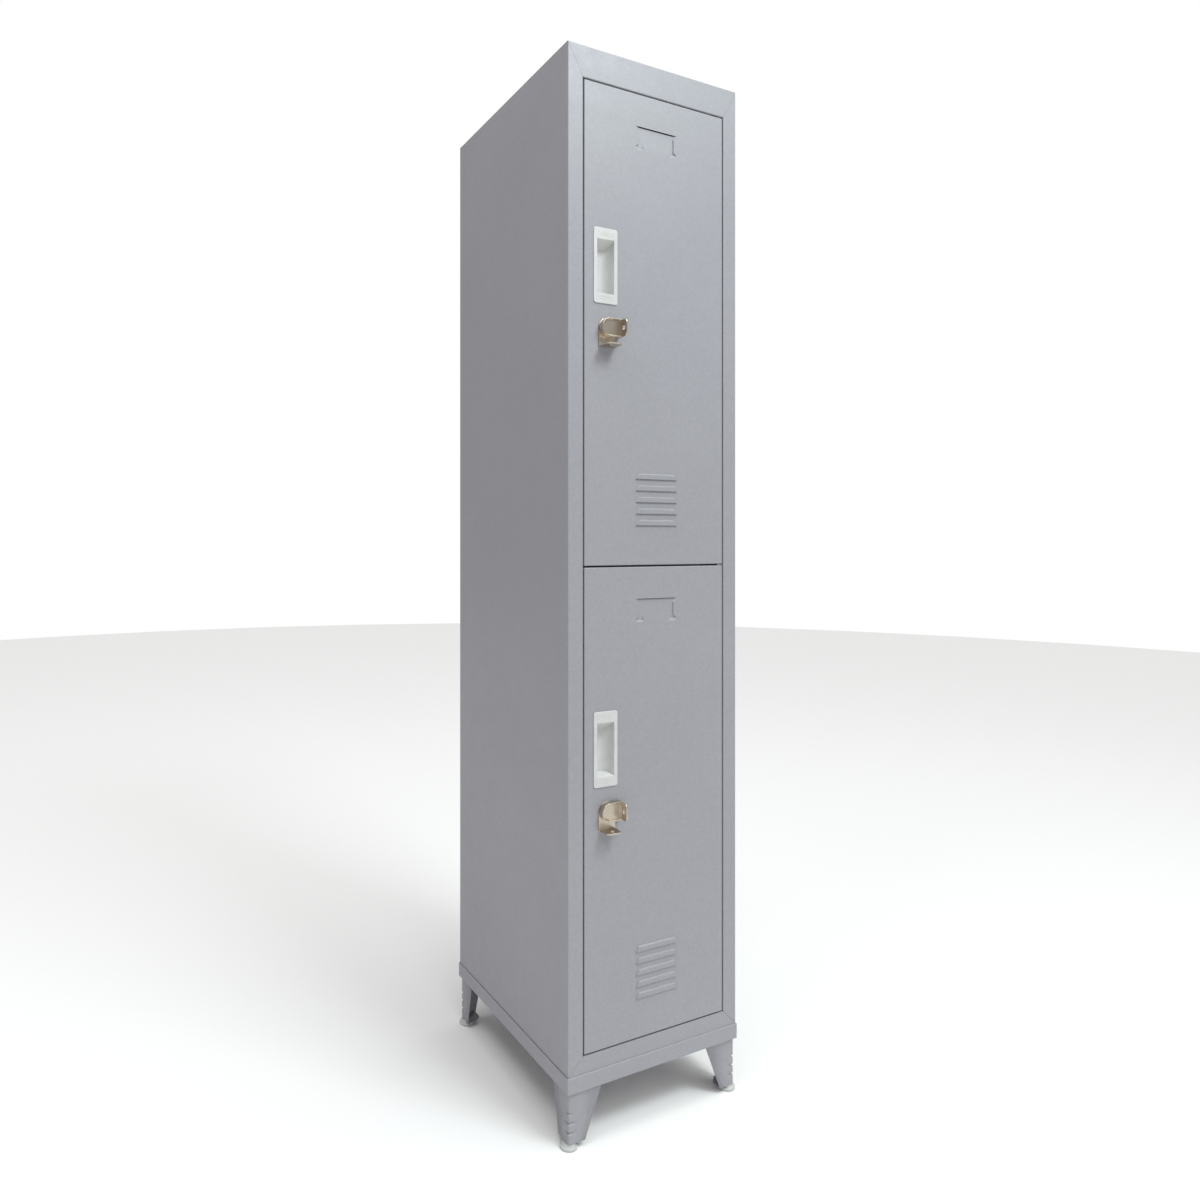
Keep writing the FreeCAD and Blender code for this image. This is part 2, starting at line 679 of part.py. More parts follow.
def foot_nuts():
    """The weld nuts on the legs' foot plates that the studs run in."""
    nuts = []
    for corner in CORNERS:
        block = hexagon(f"foot_nut_block_{corner}", D.foot_nut_across, D.foot_nut_tall)
        bore = cylinder(f"foot_nut_bore_{corner}", D.stud_radius + D.running, D.foot_nut_tall)
        nut = boolean("Cut", f"foot_nut_{corner}", block, bore)
        x, y = foot_spot(corner)
        place(nut, x, y, D.leg_lift + D.leg_sheet)
        nuts.append(nut)
    group("foot_weld_nuts", nuts)


def leg_fasteners():
    """The bolts that hold the legs to the skirt and bottom panel, and their nuts."""
    seat = LEG_TOP - D.leg_sheet
    nut_seat = BASE + D.sheet
    shank = nut_seat + D.bolt_nut + 2 - seat
    bolts, nuts = [], []
    for number, (x, y) in enumerate(leg_bolt_spots(), start=1):
        head = hexagon(f"leg_bolt_head_{number}", D.bolt_across, D.bolt_head)
        rod = cylinder(f"leg_bolt_shank_{number}", D.bolt_radius, shank + D.bolt_head)
        bolt = boolean("Fuse", f"leg_bolt_{number}", head, rod)
        place(bolt, x, y, seat - D.bolt_head)
        block = hexagon(f"leg_nut_block_{number}", D.bolt_across, D.bolt_nut)
        bore = cylinder(f"leg_nut_bore_{number}", D.bolt_radius, D.bolt_nut)
        nut = boolean("Cut", f"leg_nut_{number}", block, bore)
        place(nut, x, y, nut_seat)
        bolts.append(bolt)
        nuts.append(nut)
    group("leg_bolts", bolts)
    group("leg_nuts", nuts)


# ---- hinges -----------------------------------------------------------------------------

def hinge_pin(label, frame_face, up):
    """A headed pin through the frame's rebate; up is 1 above the doors and -1 below."""
    head_radius = D.pin_radius + D.bend / 2
    head_low = frame_face + D.sheet * up
    tip = frame_face - D.pin_reach * up
    head_end = head_low + 1.5 * up
    profile = [
        (0, tip), (D.pin_radius, tip), (D.pin_radius, head_low), (head_radius, head_low),
        (head_radius, head_end), (0, head_end),
    ]
    place(revolved(label, profile), PIN_X, PIN_Y)


def middle_hinge():
    """The bracket between the doors, the pin through it and the washers that doors ride on."""
    body = new_body("middle_hinge_bracket")
    inner = OPEN_HALF + D.sheet
    low, high = SPLIT - 0.6, SPLIT + 0.6
    outline = rectangle(PIN_X - 5, inner + 1.2, FRONT + 1.5, FRONT + 13)
    prism(body, "tongue", "XY", low, high, [outline])
    leg_outline = rectangle(FRONT + 1.5, FRONT + 13, SPLIT - 12, SPLIT + 12)
    prism(body, "leg", "YZ", inner, inner + 1.2, [leg_outline])
    hinge_hole(body, "pin_hole", low - 1, high + 1)
    pin = cylinder("middle_hinge_pin", D.pin_radius, D.pin_reach * 2)
    pin.Label = "middle_hinge_pin"
    SUB_PARTS.append(pin)
    place(pin, PIN_X, PIN_Y, SPLIT - D.pin_reach)
    washers = []
    for number, (seat, tall) in enumerate(((OPEN_LOW, Size.of(2.1)), (high, Size.of(0.7))), start=1):
        disc = cylinder(f"hinge_washer_disc_{number}", D.pin_radius + 2.5, tall)
        bore = cylinder(f"hinge_washer_bore_{number}", D.pin_radius + D.running, tall)
        washer = boolean("Cut", f"hinge_washer_{number}", disc, bore)
        place(washer, PIN_X, PIN_Y, seat)
        washers.append(washer)
    group("hinge_washers", washers)


# ---- doors ------------------------------------------------------------------------------

def louver(body):
    """Pressed hoods with their mouths downwards, repeated up the door."""
    mouth = -DOOR_TALL + D.louver_rise
    crown = mouth + D.louver_tall
    skin = D.sheet

    def section(name, level, half, near, far):
        sketch = new_sketch(body, name, "XY", level)
        draw_polygon(sketch, rectangle(-half, half, near, far))
        return sketch

    hood = body.newObject("PartDesign::AdditiveLoft", f"{body.Name}_hood")
    hood.Profile = section("hood_mouth", mouth, D.louver_wide / 2, -D.louver_proud, skin / 2)
    hood.Sections = [section("hood_crown", crown, D.louver_crown / 2, ZERO - 0.3, skin / 2)]
    hood.Ruled = True
    DOC.recompute()
    throat = body.newObject("PartDesign::SubtractiveLoft", f"{body.Name}_throat")
    throat.Profile = section("throat_mouth", mouth - 0.2, D.louver_wide / 2 - skin,
                             -D.louver_proud + skin, skin * 2)
    throat.Sections = [section("throat_crown", crown - skin, D.louver_crown / 2 - skin,
                               skin - 0.3, skin * 2)]
    throat.Ruled = True
    DOC.recompute()
    louvers = body.newObject("PartDesign::LinearPattern", f"{body.Name}_louvers")
    louvers.Originals = [hood, throat]
    louvers.Direction = (hood.Profile[0], ["N_Axis"])
    bind(louvers, "Occurrences", D.louver_count)
    bind(louvers, "Length", D.louver_pitch * (D.louver_count - 1))
    body.Tip = louvers
    DOC.recompute()


def label_recess(body):
    """A pressed tray for a name card, with side channels, spread corners and a thumb ramp."""
    half = D.label_width / 2
    high = -D.label_drop
    low = high - D.label_tall
    skin = D.sheet
    waist = half - D.label_channel

    def outline(grow):
        """Half of the outline from the top down, grown by the sheet for the tray's outside."""
        slope = grow * 0.6
        side = [
            (half + grow, high + grow), (half + grow, high - 8 - slope), (waist + grow, high - 12 - slope),
            (waist + grow, low + 9 + slope), (half + grow, low + 3 + slope), (half + grow, low - grow),
        ]
        return side + [(-x, z) for x, z in reversed(side)]

    prism(body, "label_tray", "XZ", 0, D.label_sink + skin, [outline(skin)])
    cut_prism(body, "label_sink", "XZ", -1, D.label_sink, [outline(ZERO)])
    tab = D.label_tab
    ramp = [(0, low), (D.label_sink, low + 6), (D.label_sink + skin / 2, low + 6), (D.label_sink + skin / 2, low)]
    prism(body, "label_ramp", "YZ", -half + tab, half - tab, [ramp])


def door_panel(which):
    """A door: a folded pan with louvers, a label recess and the cut-outs for its fittings."""
    body = new_body(f"{which}_door_panel")
    skin = D.sheet
    prism(body, "pan", "XZ", 0, D.door_depth, [rectangle(-DOOR_HALF, DOOR_HALF, -DOOR_TALL, ZERO)])
    inside = rectangle(-DOOR_HALF + skin, DOOR_HALF - skin, -DOOR_TALL + skin, -skin)
    cut_prism(body, "hollow", "XZ", skin, D.door_depth + 1, [inside])
    fillet(body, "front_folds", D.bend, at_level(1, [0]))
    fillet(body, "inner_folds", D.bend - skin, at_level(1, [skin]))
    lips = []
    for hand in (-1, 1):
        far, near = (DOOR_HALF - skin / 2) * hand, (DOOR_HALF - D.door_lip) * hand
        lips.append(rectangle(far, near, -DOOR_TALL + 3, ZERO - 3))
    prism(body, "lips", "XZ", D.door_depth - skin, D.door_depth, lips)
    label_recess(body)
    louver(body)
    pin_hole = [((PIN_X, D.pin_setback), D.pin_radius + D.running)]
    cut_prism(body, "hinge_holes", "XY", -DOOR_TALL - 1, 1, circles=pin_hole)
    grip_x, grip_z = grip_centre()
    reach_x, reach_z = D.grip_wide / 2 + D.moulding + 0.5, D.grip_tall / 2 + D.moulding + 0.5
    window = rectangle(grip_x - reach_x, grip_x + reach_x, grip_z - reach_z, grip_z + reach_z)
    cut_prism(body, "handle_window", "XZ", -1, skin + 1, [window])
    hasp_hole = [((D.hasp_inset - HALF, -D.hasp_drop), D.neck_radius)]
    cut_prism(body, "hasp_hole", "XZ", -1, skin + 1, circles=hasp_hole)
    place(body, 0, FRONT, DOOR_TOPS[which])


def grip_centre():
    """The finger recess's centre, from the top centre of a door's face."""
    lower_edge = -D.handle_drop - D.handle_tall
    return D.handle_inset - HALF, lower_edge + D.grip_lower + D.grip_tall / 2


def door_stiffener(which):
    """A hat-section rib welded up the back of a door."""
    body = new_body(f"{which}_door_stiffener")
    left = DOOR_HALF - D.rib_inset
    right = left + D.rib_wide
    deep = D.sheet + D.rib_deep
    path = [
        (left, D.sheet), (left + D.rib_flange, D.sheet), (left + D.rib_flange, deep),
        (right - D.rib_flange, deep), (right - D.rib_flange, D.sheet), (right, D.sheet),
    ]
    folded(body, "rib", "XY", path, 1, -DOOR_TALL + D.rib_margin, -D.rib_margin)
    place(body, 0, FRONT, DOOR_TOPS[which])


def recess_handle(which):
    """The moulded finger pull: a flange, a half-round cup and two snap clips."""
    body = new_body(f"{which}_recess_handle")
    half_w, half_t = D.grip_wide / 2, D.grip_tall / 2
    low = -half_t - D.grip_lower
    flange = rectangle(-D.handle_wide / 2, D.handle_wide / 2, low, low + D.handle_tall)
    prism(body, "flange", "XZ", -D.handle_proud, 0, [flange])
    corners = [(sx * D.handle_wide / 2, z) for sx in (-1, 1) for z in (low, low + D.handle_tall)]
    fillet(body, "corners", 4.5, at_points(1, corners))
    fillet(body, "rim", 1, at_level(1, [-D.handle_proud]))
    wall = D.moulding
    cup = rectangle(-half_w - wall, half_w + wall, -half_t - wall, half_t + wall)
    prism(body, "cup", "XZ", ZERO - 0.2, half_w + wall, [cup])
    cut_prism(body, "recess", "XY", -half_t, half_t, circles=[((0, 0), half_w)])
    mouth = rectangle(-half_w, half_w, -D.handle_proud - 1, ZERO)
    cut_prism(body, "mouth", "XY", -half_t, half_t, [mouth])
    grooves = []
    for level in (half_t + 7, half_t + 11, -half_t - 6, -half_t - 10):
        grooves.append(rectangle(-half_w, half_w, level - 0.4, level + 0.4))
    cut_prism(body, "grooves", "XZ", -D.handle_proud - 1, -D.handle_proud + 0.4, grooves)
    clips = []
    for hand in (-1, 1):
        near, far = (half_w + wall - 0.2) * hand, (half_w + wall + 1.3) * hand
        clips.append([(near, D.sheet + 0.1), (far, D.sheet + 0.1), (near, D.sheet + 5)])
    prism(body, "clips", "XY", -15, 15, clips)
    grip_x, grip_z = grip_centre()
    place(body, grip_x, FRONT, DOOR_TOPS[which] + grip_z)


# ---- hasps ------------------------------------------------------------------------------

def padlock_lug(body, name, far_face, near_y):
    """A horizontal lug with a padlock hole, reaching out from the hasp; far_face is its underside."""
    half = D.lug_half
    reach = -D.lug_reach + 0.5 if name == "turn_lug" else -D.lug_reach
    prism(body, name, "XY", far_face, far_face + D.lug_thick, [rectangle(-half, half, reach, near_y)])
    fillet(body, f"{name}_corners", 7, at_points(2, [(-half, reach), (half, reach)]))
    hole = [((0, -D.lug_hole_reach), D.lug_hole)]
    cut_prism(body, f"{name}_hole", "XY", far_face - 0.5, far_face + D.lug_thick + 0.5, circles=hole)


def hasp_axis(which):
    """The hasp's axis, where it meets the door's face."""
    return D.hasp_inset - HALF, FRONT, DOOR_TOPS[which] - D.hasp_drop


def hasp_base(which):
    """The hasp's fixed plate, with the lower padlock lug and the neck through the door."""
    body = new_body(f"{which}_hasp_base")
    half = D.hasp_half
    plate = [rectangle(-half, half, -D.base_lug_drop, ZERO)]
    prism(body, "plate", "XZ", -D.hasp_plate, 0, plate)
    prism(body, "arch", "XZ", -D.hasp_plate, 0, circles=[((0, 0), half)])
    padlock_lug(body, "base_lug", -D.base_lug_drop, -D.hasp_plate / 2)
    prism(body, "neck", "XZ", ZERO - 0.5, D.neck_length, circles=[((0, 0), D.neck_radius)])
    bore = [((0, 0), D.spindle_radius + D.running)]
    cut_prism(body, "bore", "XZ", -D.hasp_plate - 1, D.neck_length + 1, circles=bore)
    place(body, *hasp_axis(which))


def hasp_nut(which):
    """The ring nut that clamps the hasp's base to the door."""
    body = new_body(f"{which}_hasp_nut")
    low, high = D.sheet, D.sheet + 4
    corner = 24 / math.sqrt(3)
    points = []
    for step in range(6):
        turn = math.radians(60 * step)
        points.append((corner * math.cos(turn), corner * math.sin(turn)))
    prism(body, "hexagon", "XZ", low, high, [points])
    cut_prism(body, "bore", "XZ", low - 1, high + 1, circles=[((0, 0), D.neck_radius)])
    place(body, *hasp_axis(which))


def turned_place(body, which):
    """Place a piece of the turning set; it is drawn locked and stands unlocked at rest."""
    unlock = FreeCAD.Rotation(FreeCAD.Vector(0, 1, 0), -90)
    place(body, *hasp_axis(which), unlock)


def thumb_turn(which):
    """The dished thumb turn with its own lug, its spindle and the cam's square seat."""
    body = new_body(f"{which}_thumb_turn")
    half = D.turn_half
    near = -D.hasp_plate - 0.4
    drop = -D.turn_lug_drop
    prism(body, "block", "XZ", -D.turn_proud, near, [rectangle(-half, half, drop, ZERO)])
    prism(body, "arch", "XZ", -D.turn_proud, near, circles=[((0, 0), half)])
    dish = half - D.turn_rim
    dish_floor = -D.turn_proud + D.turn_sink
    dish_low = drop + D.lug_thick + 1
    well = [rectangle(-dish, dish, dish_low, ZERO)]
    cut_prism(body, "dish", "XZ", -D.turn_proud - 1, dish_floor, well)
    cut_prism(body, "dish_arch", "XZ", -D.turn_proud - 1, dish_floor, circles=[((0, 0), dish)])
    padlock_lug(body, "turn_lug", drop, near)
    shoulder = D.neck_length + 5
    seat_end = D.cam_setback + D.cam_thick
    prism(body, "spindle", "XZ", near - 0.5, shoulder, circles=[((0, 0), D.spindle_radius)])
    prism(body, "square", "XZ", shoulder - 0.5, seat_end, [rectangle(-3.5, 3.5, -3.5, 3.5)])
    cut_prism(body, "screw_hole", "XZ", shoulder, seat_end + 1, circles=[((0, 0), 2)])
    turned_place(body, which)


def latch_cam(which):
    """The flat cam that swings behind the frame's stop to lock the door."""
    body = new_body(f"{which}_latch_cam")
    low = D.cam_setback
    high = low + D.cam_thick
    half = D.cam_wide / 2
    tip = -D.cam_reach + half
    prism(body, "arm", "XZ", low, high, [rectangle(tip, ZERO, -half, half)])
    prism(body, "hub", "XZ", low, high, circles=[((0, 0), half)])
    prism(body, "nose", "XZ", low, high, circles=[((tip, 0), half)])
    cut_prism(body, "square_hole", "XZ", low - 1, high + 1, [rectangle(-3.5, 3.5, -3.5, 3.5)])
    turned_place(body, which)


def cam_screw(which):
    """The screw that holds the cam on the spindle."""
    body = new_body(f"{which}_cam_screw")
    seat = D.cam_setback + D.cam_thick
    prism(body, "head", "XZ", seat, seat + 3, circles=[((0, 0), 6)])
    prism(body, "shank", "XZ", D.neck_length + 6, seat + 0.5, circles=[((0, 0), 2)])
    fillet(body, "head_edge", 1.2, at_level(1, [seat + 3]))
    slots = [rectangle(-4, 4, -0.5, 0.5)]
    cut_prism(body, "slot", "XZ", seat + 2, seat + 4, slots)
    turned_place(body, which)


# ---- inside fittings --------------------------------------------------------------------

def coat_rod(which, ceiling):
    """A hanging rod across a compartment, in a socket at each side wall."""
    wall_inner = HALF - D.sheet
    span = (wall_inner - D.socket_base) * 2
    level = ceiling - D.rod_drop
    middle = (FRONT + BACK) / 2
    across = FreeCAD.Rotation(FreeCAD.Vector(0, 1, 0), 90)
    bar = cylinder(f"{which}_rod_bar", D.rod_radius, span)
    hollow = cylinder(f"{which}_rod_hollow", D.rod_radius - D.rod_wall, span)
    rod = boolean("Cut", f"{which}_coat_rod", bar, hollow)
    rod.Label = f"{which}_coat_rod"
    SUB_PARTS.append(rod)
    place(rod, -span / 2, middle, level, across)
    sockets = []
    for name, start, turn in (("left", -wall_inner, 90), ("right", wall_inner, -90)):
        base = cylinder(f"{which}_socket_base_{name}", D.socket_flange, D.socket_base)
        collar = cylinder(f"{which}_socket_collar_{name}", D.rod_radius + 2.5, D.socket_deep)
        solid = boolean("Fuse", f"{which}_socket_solid_{name}", base, collar)
        bore = cylinder(f"{which}_socket_bore_{name}", D.rod_radius, D.socket_deep)
        bind(bore, "Placement.Base.z", D.socket_base)
        socket = boolean("Cut", f"{which}_socket_{name}", solid, bore)
        place(socket, start, middle, level, FreeCAD.Rotation(FreeCAD.Vector(0, 1, 0), turn))
        sockets.append(socket)
    group(f"{which}_rod_sockets", sockets)


def door_bumpers():
    """Rubber buttons on the lock side's stop, two behind each door."""
    back = FreeCAD.Rotation(FreeCAD.Vector(1, 0, 0), 90)
    buttons = []
    for which, top in DOOR_TOPS.items():
        for spot, level in (("high", top - D.bumper_margin), ("low", top - DOOR_TALL + D.bumper_margin)):
            button = cylinder(f"bumper_{which}_{spot}", D.bumper_radius, D.bumper_thick)
            place(button, -DOOR_HALF + D.door_lip / 2, STOP_FACE, level, back)
            buttons.append(button)
    group("door_bumpers", buttons)


# ---- assembly ---------------------------------------------------------------------------

def build():
    """Build every sub-part in the document."""
    side_panel("left_side_panel", -1)
    right = side_panel("right_side_panel", 1)
    add_bracket_slot(right)
    top = end_panel("top_panel", TOP, OPEN_HIGH, 1)
    hinge_hole(top, "hinge_hole", OPEN_HIGH - 0.5, OPEN_HIGH + D.sheet + 0.5)
    bottom = end_panel("bottom_panel", BASE, OPEN_LOW, -1)
    hinge_hole(bottom, "hinge_hole", OPEN_LOW - D.sheet - 0.5, OPEN_LOW + 0.5)
    bolt_holes(bottom, "bolt_holes", BASE - 1, BASE + D.sheet + 0.5)
    back_panel()
    middle_shelf()
    base_skirt()
    for corner in CORNERS:
        leg(corner)
        foot(corner)
    foot_nuts()
    leg_fasteners()
    hinge_pin("top_hinge_pin", OPEN_HIGH, 1)
    hinge_pin("bottom_hinge_pin", OPEN_LOW, -1)
    middle_hinge()
    door_bumpers()
    coat_rod("upper", TOP - D.sheet)
    coat_rod("lower", SHELF_TOP - D.sheet)
    for which in DOOR_TOPS:
        door_panel(which)
        door_stiffener(which)
        recess_handle(which)
        hasp_base(which)
        hasp_nut(which)
        thumb_turn(which)
        latch_cam(which)
        cam_screw(which)


def check():
    """Stop if any object failed or any sub-part's shape is missing or invalid."""
    for item in DOC.Objects:
        if "Invalid" in item.State or "Error" in item.State:
            raise RuntimeError(f"{item.Name}: {item.State}")
    for item in SUB_PARTS:
        shape = item.Shape
        if shape.isNull() or not shape.isValid() or not shape.Solids:
            raise RuntimeError(f"{item.Label} has no valid solid")


def export():
    """Write each sub-part to its own STEP file."""
    os.makedirs("parts", exist_ok=True)
    for item in SUB_PARTS:
        item.Shape.exportStep(f"parts/{item.Label}.step")
        print(item.Label, len(item.Shape.Solids), round(item.Shape.Volume, 1))


build()
DOC.recompute()
check()
export()
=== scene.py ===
"""The looks of a two-door steel school locker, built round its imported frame.

Frame: metres, +Z up, the floor at Z = 0. The doors face -Y and hinge on the +X side.
Sizes in the classes are millimetres, and places come from the boxes of the frame's nodes.
"""

import logging
import math
from collections.abc import Callable, Iterable, Sequence
from dataclasses import dataclass
from enum import Enum

import bmesh
import bpy
from mathutils import Matrix, Vector
from mathutils.geometry import delaunay_2d_cdt


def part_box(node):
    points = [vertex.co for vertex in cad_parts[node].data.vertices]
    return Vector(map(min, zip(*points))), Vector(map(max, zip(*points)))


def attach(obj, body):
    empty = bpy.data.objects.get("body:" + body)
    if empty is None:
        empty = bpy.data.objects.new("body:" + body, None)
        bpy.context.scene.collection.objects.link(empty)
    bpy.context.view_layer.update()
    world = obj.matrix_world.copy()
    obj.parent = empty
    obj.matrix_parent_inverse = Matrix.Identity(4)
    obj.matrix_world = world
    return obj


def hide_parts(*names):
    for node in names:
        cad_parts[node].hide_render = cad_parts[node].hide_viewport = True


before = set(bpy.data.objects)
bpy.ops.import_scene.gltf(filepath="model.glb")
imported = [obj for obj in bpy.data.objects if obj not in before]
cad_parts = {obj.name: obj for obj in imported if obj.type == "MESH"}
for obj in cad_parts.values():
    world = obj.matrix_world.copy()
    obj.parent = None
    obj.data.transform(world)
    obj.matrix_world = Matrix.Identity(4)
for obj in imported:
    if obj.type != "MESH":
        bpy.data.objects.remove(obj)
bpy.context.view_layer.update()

MM = 0.001
SHEET = 0.8
NEAR = 0.1
HARD_EDGE = math.radians(28)
FACE_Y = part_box("left_side_panel")[0].y
LOG = logging.getLogger("locker")

Flat = tuple[float, float]
Spot = tuple[float, float, float]
Weigh = Callable[[Vector, Vector], float]
Piece = bpy.types.Object
Tree = bpy.types.NodeTree
Socket = bpy.types.NodeSocket
Material = bpy.types.Material


class Slot(Enum):
    """The record's material slots."""

    POWDER = "powder_coat"
    WHITE = "white_moulding"
    FOOT = "foot_plastic"
    NICKEL = "nickel_plate"
    ZINC = "zinc_plate"
    NYLON = "grey_nylon"
    RUBBER = "rubber"


class Lie(Enum):
    """The way a flat outline (u, v) and its level w stand in the object: each as (u, v, w) axes."""

    PLAN = (0, 1, 2)
    FACE = (0, 2, 1)
    SIDE = (1, 2, 0)

    def spot(self, point: Flat, level: float) -> Spot:
        """The point of the object for a point of the outline at a level."""
        found = dict(zip(self.value, (*point, level)))
        return (found[0], found[1], found[2])

    def row(self, outline: Iterable[Flat], level: float) -> list[Spot]:
        """The points of the object for an outline's points at a level."""
        return [self.spot(point, level) for point in outline]


# ---- colour and nodes ----

def linear(colour: str) -> tuple[float, ...]:
    """Turn an sRGB hex colour to linear red, green and blue, with an alpha of 1."""
    shares = [int(colour[start:start + 2], 16) / 255 for start in (1, 3, 5)]
    return (*(part / 12.92 if part <= 0.04045 else ((part + 0.055) / 1.055) ** 2.4 for part in shares), 1.0)


def per(size: float) -> float:
    """The texture scale whose pattern repeats about every size millimetres."""
    return 1 / (size * MM)


def add_node(tree: Tree, kind: str, settings: dict, links: dict) -> bpy.types.Node:
    """Add a node with its settings and links.

    Args:
        tree: The node tree.
        kind: The node's type name.
        settings: Values by attribute name, or by input name or number.
        links: Output sockets by input name or number.

    Returns:
        The node.
    """
    node = tree.nodes.new(kind)
    for name, value in settings.items():
        if isinstance(name, str) and hasattr(node, name):
            setattr(node, name, value)
        else:
            node.inputs[name].default_value = value
    for name, output in links.items():
        tree.links.new(output, node.inputs[name])
    return node


def new_material(name: str) -> tuple[Material, Tree, Socket]:
    """Start a material.

    Args:
        name: The real material and how its surface was made.

    Returns:
        The material, its empty tree and the Object coordinates.
    """
    material = bpy.data.materials.new(name)
    material.use_nodes = True
    tree = material.node_tree
    tree.nodes.clear()
    place = add_node(tree, "ShaderNodeTexCoord", {}, {})
    return material, tree, place.outputs["Object"]


def noise(tree: Tree, place: Socket, size: float, detail: float, low: float = 0, high: float = 1) -> Socket:
    """Spread the middle range of a noise, its grain's size in millimetres, between two values."""
    grain = add_node(tree, "ShaderNodeTexNoise", {"Scale": per(size), "Detail": detail}, {"Vector": place})
    return add_node(tree, "ShaderNodeMapRange", {"From Min": 0.3, "From Max": 0.7, "To Min": low,
                                                 "To Max": high}, {"Value": grain.outputs[0]}).outputs[0]


def blend_colours(tree: Tree, share: Socket, first: str, second: str) -> Socket:
    """Blend two hex colours by a value, 0 for the first and 1 for the second."""
    return add_node(tree, "ShaderNodeMix", {"data_type": "RGBA", 6: linear(first), 7: linear(second)},
                    {0: share}).outputs[2]


def close_material(tree: Tree, settings: dict, links: dict, bump: Socket, depth: float) -> None:
    """Finish a material with its bump, shader and output.

    Args:
        tree: The node tree.
        settings: Constant values of the shader's inputs.
        links: Output sockets by the shader's input names.
        bump: The height pattern, from 0 to 1.
        depth: The pattern's height in millimetres.
    """
    normal = add_node(tree, "ShaderNodeBump", {"Strength": 1.0, "Distance": depth * MM}, {"Height": bump})
    shader = add_node(tree, "ShaderNodeBsdfPrincipled", settings, {**links, "Normal": normal.outputs[0]})
    add_node(tree, "ShaderNodeOutputMaterial", {}, {"Surface": shader.outputs[0]})


# ---- finishes ----

@dataclass(frozen=True)
class PowderCoat:
    """Grey polyester powder coat baked on sheet steel.

    It gives the eye a soft, slightly pebbled sheen and a barely mottled grey.
    """

    dark: str = "#908F95"
    light: str = "#98979D"
    speck: float = 5.0
    peel: float = 2.4

    def material(self) -> Material:
        """Mottled grey, uneven gloss and orange peel.

        Returns:
            The material.
        """
        material, tree, place = new_material("powder_coated_steel_baked")
        mottle = noise(tree, place, self.speck, 3.0)
        cloud = noise(tree, place, 260, 2.0)
        both = add_node(tree, "ShaderNodeMath", {"operation": "MULTIPLY_ADD", 1: 0.65, 2: 0.0}, {0: mottle})
        mixed = add_node(tree, "ShaderNodeMath", {"operation": "MULTIPLY_ADD", 1: 0.35},
                         {0: cloud, 2: both.outputs[0]})
        colour = blend_colours(tree, mixed.outputs[0], self.dark, self.light)
        gloss = noise(tree, place, 30, 4.0, 0.40, 0.50)
        # The real peel is about 1.5 mm; it is drawn coarser so that it shows.
        peel = noise(tree, place, self.peel, 1.0)
        close_material(tree, {"IOR": 1.5}, {"Base Color": colour, "Roughness": gloss}, peel, 0.05)
        return material


@dataclass(frozen=True)
class MouldedPlastic:
    """A moulded plastic with a fine spark-eroded grain.

    It gives the eye a smooth satin surface with a little light inside it.
    """

    name: str
    dark: str
    light: str
    low_gloss: float
    high_gloss: float
    inside: float

    def material(self) -> Material:
        """Faint flow clouds, satin gloss and a fine grain.

        Returns:
            The material.
        """
        material, tree, place = new_material(self.name)
        cloud = noise(tree, place, 24, 3.0)
        colour = blend_colours(tree, cloud, self.dark, self.light)
        gloss = noise(tree, place, 9, 3.0, self.low_gloss, self.high_gloss)
        # Spark grain is about 0.1 mm; it is drawn at 0.8 mm so that it shows.
        grain = noise(tree, place, 0.8, 2.0)
        settings = {"IOR": 1.53, "Subsurface Weight": self.inside, "Subsurface Scale": 3 * MM,
                    "Subsurface Radius": (1.0, 0.9, 0.8)}
        close_material(tree, settings, {"Base Color": colour, "Roughness": gloss}, grain, 0.012)
        return material


@dataclass(frozen=True)
class PlatedMetal:
    """A plated metal fitting.

    It gives the eye bright edges, soft warm reflections and faint handling marks.
    """

    name: str
    dark: str
    light: str
    low_gloss: float
    high_gloss: float
    grain: float

    def material(self) -> Material:
        """Clouded plating with a fine cast grain below it.

        Returns:
            The material.
        """
        material, tree, place = new_material(self.name)
        cloud = noise(tree, place, 12, 3.0)
        colour = blend_colours(tree, cloud, self.dark, self.light)
        gloss = noise(tree, place, 3.5, 3.0, self.low_gloss, self.high_gloss)
        grain = noise(tree, place, self.grain, 2.0)
        close_material(tree, {"Metallic": 1.0}, {"Base Color": colour, "Roughness": gloss}, grain, 0.0015)
        return material


@dataclass(frozen=True)
class StudioPaper:
    """Plain white paper sweep under the locker.

    It gives the eye a pale, even ground with a soft shadow.
    """

    colour: str = "#F1F1F0"

    def material(self) -> Material:
        """Matt paper with a faint tooth.

        Returns:
            The material.
        """
        material, tree, place = new_material("paper_matt")
        tooth = noise(tree, place, 3, 2.0)
        settings = {"Base Color": linear(self.colour), "Roughness": 0.9, "Specular IOR Level": 0.2}
        close_material(tree, settings, {}, tooth, 0.02)
        return material


FINISHES = {
    Slot.POWDER: PowderCoat(),
    Slot.WHITE: MouldedPlastic("abs_injection_moulded", "#C0C0BF", "#C9C9C8", 0.34, 0.44, 0.03),
    Slot.FOOT: MouldedPlastic("polyethylene_injection_moulded", "#B4B6B5", "#C1C3C2", 0.28, 0.40, 0.15),
    Slot.NICKEL: PlatedMetal("zinc_die_cast_nickel_plated", "#BDB2A3", "#C8BDAE", 0.28, 0.34, 1.6),
    Slot.ZINC: PlatedMetal("steel_zinc_plated_passivated", "#A9ABAE", "#C3C5C6", 0.26, 0.42, 1.2),
    Slot.NYLON: MouldedPlastic("nylon_injection_moulded", "#6E7072", "#7C7E80", 0.38, 0.5, 0.0),
    Slot.RUBBER: MouldedPlastic("rubber_moulded", "#1B1B1C", "#242425", 0.55, 0.7, 0.0),
}


